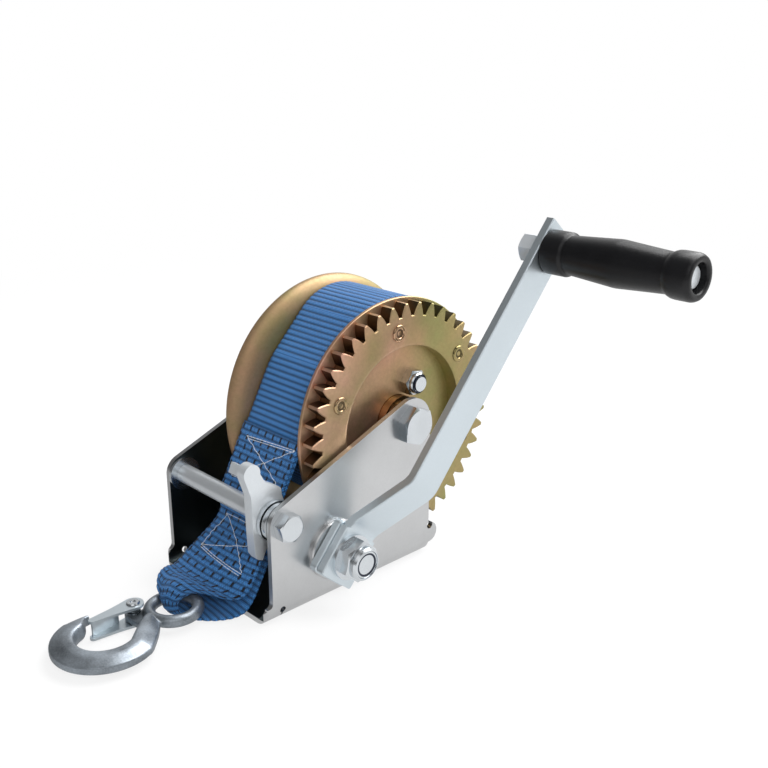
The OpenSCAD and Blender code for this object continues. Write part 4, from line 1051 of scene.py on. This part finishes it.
class WinchLockRingOperator(bpy.types.Operator):
    """Sets the nylon rings in the lock nuts, with a bright collar round the crank nut's ring"""

    bl_idname = "winch.lock_rings"
    bl_label = "Lock rings"

    def execute(self, context):
        # Each nut's node, centre, bore, the side of its open end and body.
        nuts = [("axle_nut", AXLE, 6.02, -1, "root"), ("crank_nut", PINION, 5.92, 1, "crank"),
                ("anchor_nut", None, 4.02, 1, "drum")]
        for node, centre, bore, side, body in nuts:
            low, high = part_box(node)
            if centre is None:
                centre = np.array([(low.y + high.y) / 2, (low.z + high.z) / 2]) / MM
            end = (high.x if side > 0 else low.x) / MM
            inner, outer = bore + 0.02, bore + 1.15
            deep, face = end - side * 1.15, end - side * 0.35
            corners = [[inner, deep], [outer, deep], [outer, face], [inner + 0.2, face]]
            if node == "crank_nut":
                corners[3:] = [[bore + 0.25, end - 0.1], [bore - 0.75, end - 0.15], [bore - 0.85, end - 0.36],
                               [inner, end - 0.36]]
            profile = rounded_profile(corners if side > 0 else corners[::-1], 0.1, 3)
            ring = turned("lock_ring_" + node, centre, profile, steps=64)
            ring.data.materials.append(FINISH["nylon"])
            if node == "crank_nut":
                ring.data.materials.append(FINISH["hardware"])
                middles = np.empty(len(ring.data.polygons) * 3)
                ring.data.polygons.foreach_get("center", middles)
                reach = np.linalg.norm(middles.reshape(-1, 3)[:, 1:] / MM - centre, axis=1)
                ring.data.polygons.foreach_set("material_index", (reach > bore + 0.2).astype(np.int32))
            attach(ring, body)
        return {"FINISHED"}


def angle_shading(degrees):
    """Geometry nodes for smooth shading, with edges sharper than an angle kept sharp."""
    group = bpy.data.node_groups.new("Shade by angle", "GeometryNodeTree")
    for side in ("INPUT", "OUTPUT"):
        group.interface.new_socket("Geometry", in_out=side, socket_type="NodeSocketGeometry")
    given, out = group.nodes.new("NodeGroupInput"), group.nodes.new("NodeGroupOutput")
    smooth = node_in(group, "GeometryNodeSetShadeSmooth",
                     {"Geometry": given.outputs[0], "Shade Smooth": True}, domain="FACE")
    angle = node_in(group, "GeometryNodeInputMeshEdgeAngle").outputs[0]
    sharp = node_in(group, "FunctionNodeCompare", {0: angle, 1: math.radians(degrees)},
                    operation="GREATER_THAN")
    kept = node_in(group, "GeometryNodeSetShadeSmooth",
                   {"Geometry": smooth.outputs[0], "Selection": sharp.outputs[0], "Shade Smooth": False},
                   domain="EDGE")
    group.links.new(kept.outputs[0], out.inputs[0])
    return group


class WinchEdgeOperator(bpy.types.Operator):
    """Breaks the cut edges of the CAD nodes that stay in view and smooths their rounded faces"""

    bl_idname = "winch.edges"
    bl_label = "Edges"

    def execute(self, context):
        radius = context.scene.winch_sizes.edge_radius
        widths = {"frame": radius, "pawl": radius, "hook_latch": radius * 0.5, "gear_flange": radius * 0.6}
        shading = angle_shading(30)
        for name, width in widths.items():
            piece = frame["nodes"][name]
            weld = piece.modifiers.new("weld", "WELD")
            weld.merge_threshold = 0.00001
            flat = piece.modifiers.new("flat faces", "DECIMATE")
            flat.decimate_type = "DISSOLVE"
            flat.angle_limit = math.radians(0.5)
            bevel = piece.modifiers.new("broken edge", "BEVEL")
            bevel.width = width
            bevel.segments = 1
            bevel.limit_method = "ANGLE"
            bevel.angle_limit = math.radians(40)
            shade = piece.modifiers.new("shading", "NODES")
            shade.node_group = shading
        return {"FINISHED"}


def backdrop_material(name, shade):
    """Pale floor: white to the camera with the shadow kept, fading to plain white far away.

    In mirrored rays its brightness grows from the left front to the right rear, as under a soft box.
    """
    material, tree, shader = new_material(name)
    shader.inputs["Base Color"].default_value = (shade, shade, shade, 1)
    shader.inputs["Roughness"].default_value = 0.9
    shader.inputs["Specular IOR Level"].default_value = 0.0
    path = tree.nodes.new("ShaderNodeLightPath")
    place = object_vector(tree)
    away = node_in(tree, "ShaderNodeVectorMath", {0: place}, operation="LENGTH").outputs["Value"]
    mirrored = maths(tree, "MAXIMUM", path.outputs["Is Glossy Ray"], path.outputs["Is Transmission Ray"])
    seen = maths(tree, "MULTIPLY", path.outputs["Is Camera Ray"], spread(tree, away, 0.25, 0.8, 0.8, 1.0))
    factor = maths(tree, "ADD", seen, maths(tree, "MULTIPLY", mirrored, 0.9))
    level = spread(tree, facing(tree, place, (1.0, 0.3, 0.0)), -0.05, 0.1, 0.35, 0.92)
    strength = maths(tree, "ADD", path.outputs["Is Camera Ray"], maths(tree, "MULTIPLY", mirrored, level))
    glow = node_in(tree, "ShaderNodeEmission", {"Color": (1, 1, 1, 1), "Strength": strength})
    mix = node_in(tree, "ShaderNodeMixShader", {0: factor, 1: shader.outputs[0], 2: glow.outputs[0]})
    tree.links.new(mix.outputs[0], tree.nodes["Material Output"].inputs["Surface"])
    return material


def aimed(name, data, place, target):
    """Lamp or camera at a place in metres, with its -Z axis turned to a target."""
    made = bpy.data.objects.new(name, data)
    made.location = place
    made.rotation_euler = (Vector(target) - Vector(place)).to_track_quat("-Z", "Y").to_euler()
    bpy.context.scene.collection.objects.link(made)
    return made


class WinchStageOperator(bpy.types.Operator):
    """Sets the floor, the soft lights, the world and the camera"""

    bl_idname = "winch.stage"
    bl_label = "Stage"

    def execute(self, context):
        scene = context.scene
        half, low = 6000.0, -0.02
        floor = add_mesh("floor", [[-half, -half, low], [half, -half, low], [half, half, low],
                                   [-half, half, low]], [[0, 1, 2, 3]], smooth=False)
        floor.data.materials.append(backdrop_material("floor_pale", 0.86))
        scene.world = self.studio()
        middle = (0.02, 0.03, 0.08)
        lamps = [("top", (0.2, 0.8, 1.1), 1.3, 30.0, True), ("side", (1.1, -0.5, 0.8), 0.6, 8.0, False),
                 ("front", (-0.3, -1.3, 0.7), 0.8, 5.0, False)]
        for name, place, width, power, reflected in lamps:
            data = bpy.data.lights.new(name, "AREA")
            data.shape = "SQUARE"
            data.size = width
            data.energy = power
            aimed(name, data, place, middle).visible_glossy = reflected
        data = bpy.data.cameras.new("camera")
        data.lens = 47.88
        data.sensor_width = 36.0
        data.clip_start = 0.01
        scene.camera = aimed("camera", data, (0.3974, -0.3198, 0.2757), (0.0251, 0.0382, 0.0983))
        scene.view_settings.view_transform = "Standard"
        return {"FINISHED"}

    def studio(self):
        """World that is white to the camera and dimmer, but even, as soft light.

        Mirrored rays meet a bright rear side, dimmer low down, and a small bright zone high in front.
        """
        world = bpy.data.worlds.new("studio")
        world.use_nodes = True
        tree = world.node_tree
        path = tree.nodes.new("ShaderNodeLightPath")
        camera_ray = path.outputs["Is Camera Ray"]
        mirrored = maths(tree, "MAXIMUM", path.outputs["Is Glossy Ray"], path.outputs["Is Transmission Ray"])
        looking = tree.nodes.new("ShaderNodeTexCoord").outputs["Generated"]
        split = node_in(tree, "ShaderNodeSeparateXYZ", {0: looking})
        rear = maths(tree, "MULTIPLY", spread(tree, split.outputs[1], 0.05, 0.75, 0.14, 1.0),
                     spread(tree, split.outputs[2], -0.05, 0.28, 0.75, 1.0))
        zone = spread(tree, facing(tree, looking, (0.62, -0.49, 0.61)), 0.88, 0.97, 0.0, 0.95)
        level = maths(tree, "MAXIMUM", rear, zone)
        soft = maths(tree, "SUBTRACT", 1.0, maths(tree, "ADD", camera_ray, mirrored))
        strength = maths(tree, "ADD", camera_ray, weighted(tree, mirrored, level, soft, 0.36))
        ground = tree.nodes["Background"]
        ground.inputs["Color"].default_value = (1, 1, 1, 1)
        tree.links.new(strength, ground.inputs["Strength"])
        return world


class WinchPanel(bpy.types.Panel):
    """Lists the winch's pieces in the sidebar"""

    bl_idname = "VIEW3D_PT_winch"
    bl_label = "Winch"
    bl_space_type = "VIEW_3D"
    bl_region_type = "UI"
    bl_category = "Winch"

    def draw(self, context):
        for operator in OPERATORS:
            self.layout.operator(operator.bl_idname)
        for group in (context.scene.winch_sizes, context.scene.winch_finishes):
            for key in group.__annotations__:
                self.layout.prop(group, key)


OPERATORS = (WinchStageOperator, WinchFinishOperator, WinchWindingOperator, WinchStrapOperator,
             WinchHookOperator, WinchGearOperator, WinchFlangeOperator, WinchGripOperator, WinchCrankOperator,
             WinchLockRingOperator, WinchEdgeOperator)
CLASSES = (WinchSizes, WinchFinishes, *OPERATORS, WinchPanel)


def register():
    """Adds the classes and the scene's winch settings."""
    for item in CLASSES:
        bpy.utils.register_class(item)
    bpy.types.Scene.winch_sizes = PointerProperty(type=WinchSizes)
    bpy.types.Scene.winch_finishes = PointerProperty(type=WinchFinishes)


def unregister():
    """Removes what register added."""
    del bpy.types.Scene.winch_finishes
    del bpy.types.Scene.winch_sizes
    for item in reversed(CLASSES):
        bpy.utils.unregister_class(item)


def main():
    """Builds every piece in order."""
    register()
    for operator in OPERATORS:
        group, action = operator.bl_idname.split(".")
        getattr(getattr(bpy.ops, group), action)()


if __name__ == "__main__":
    main()
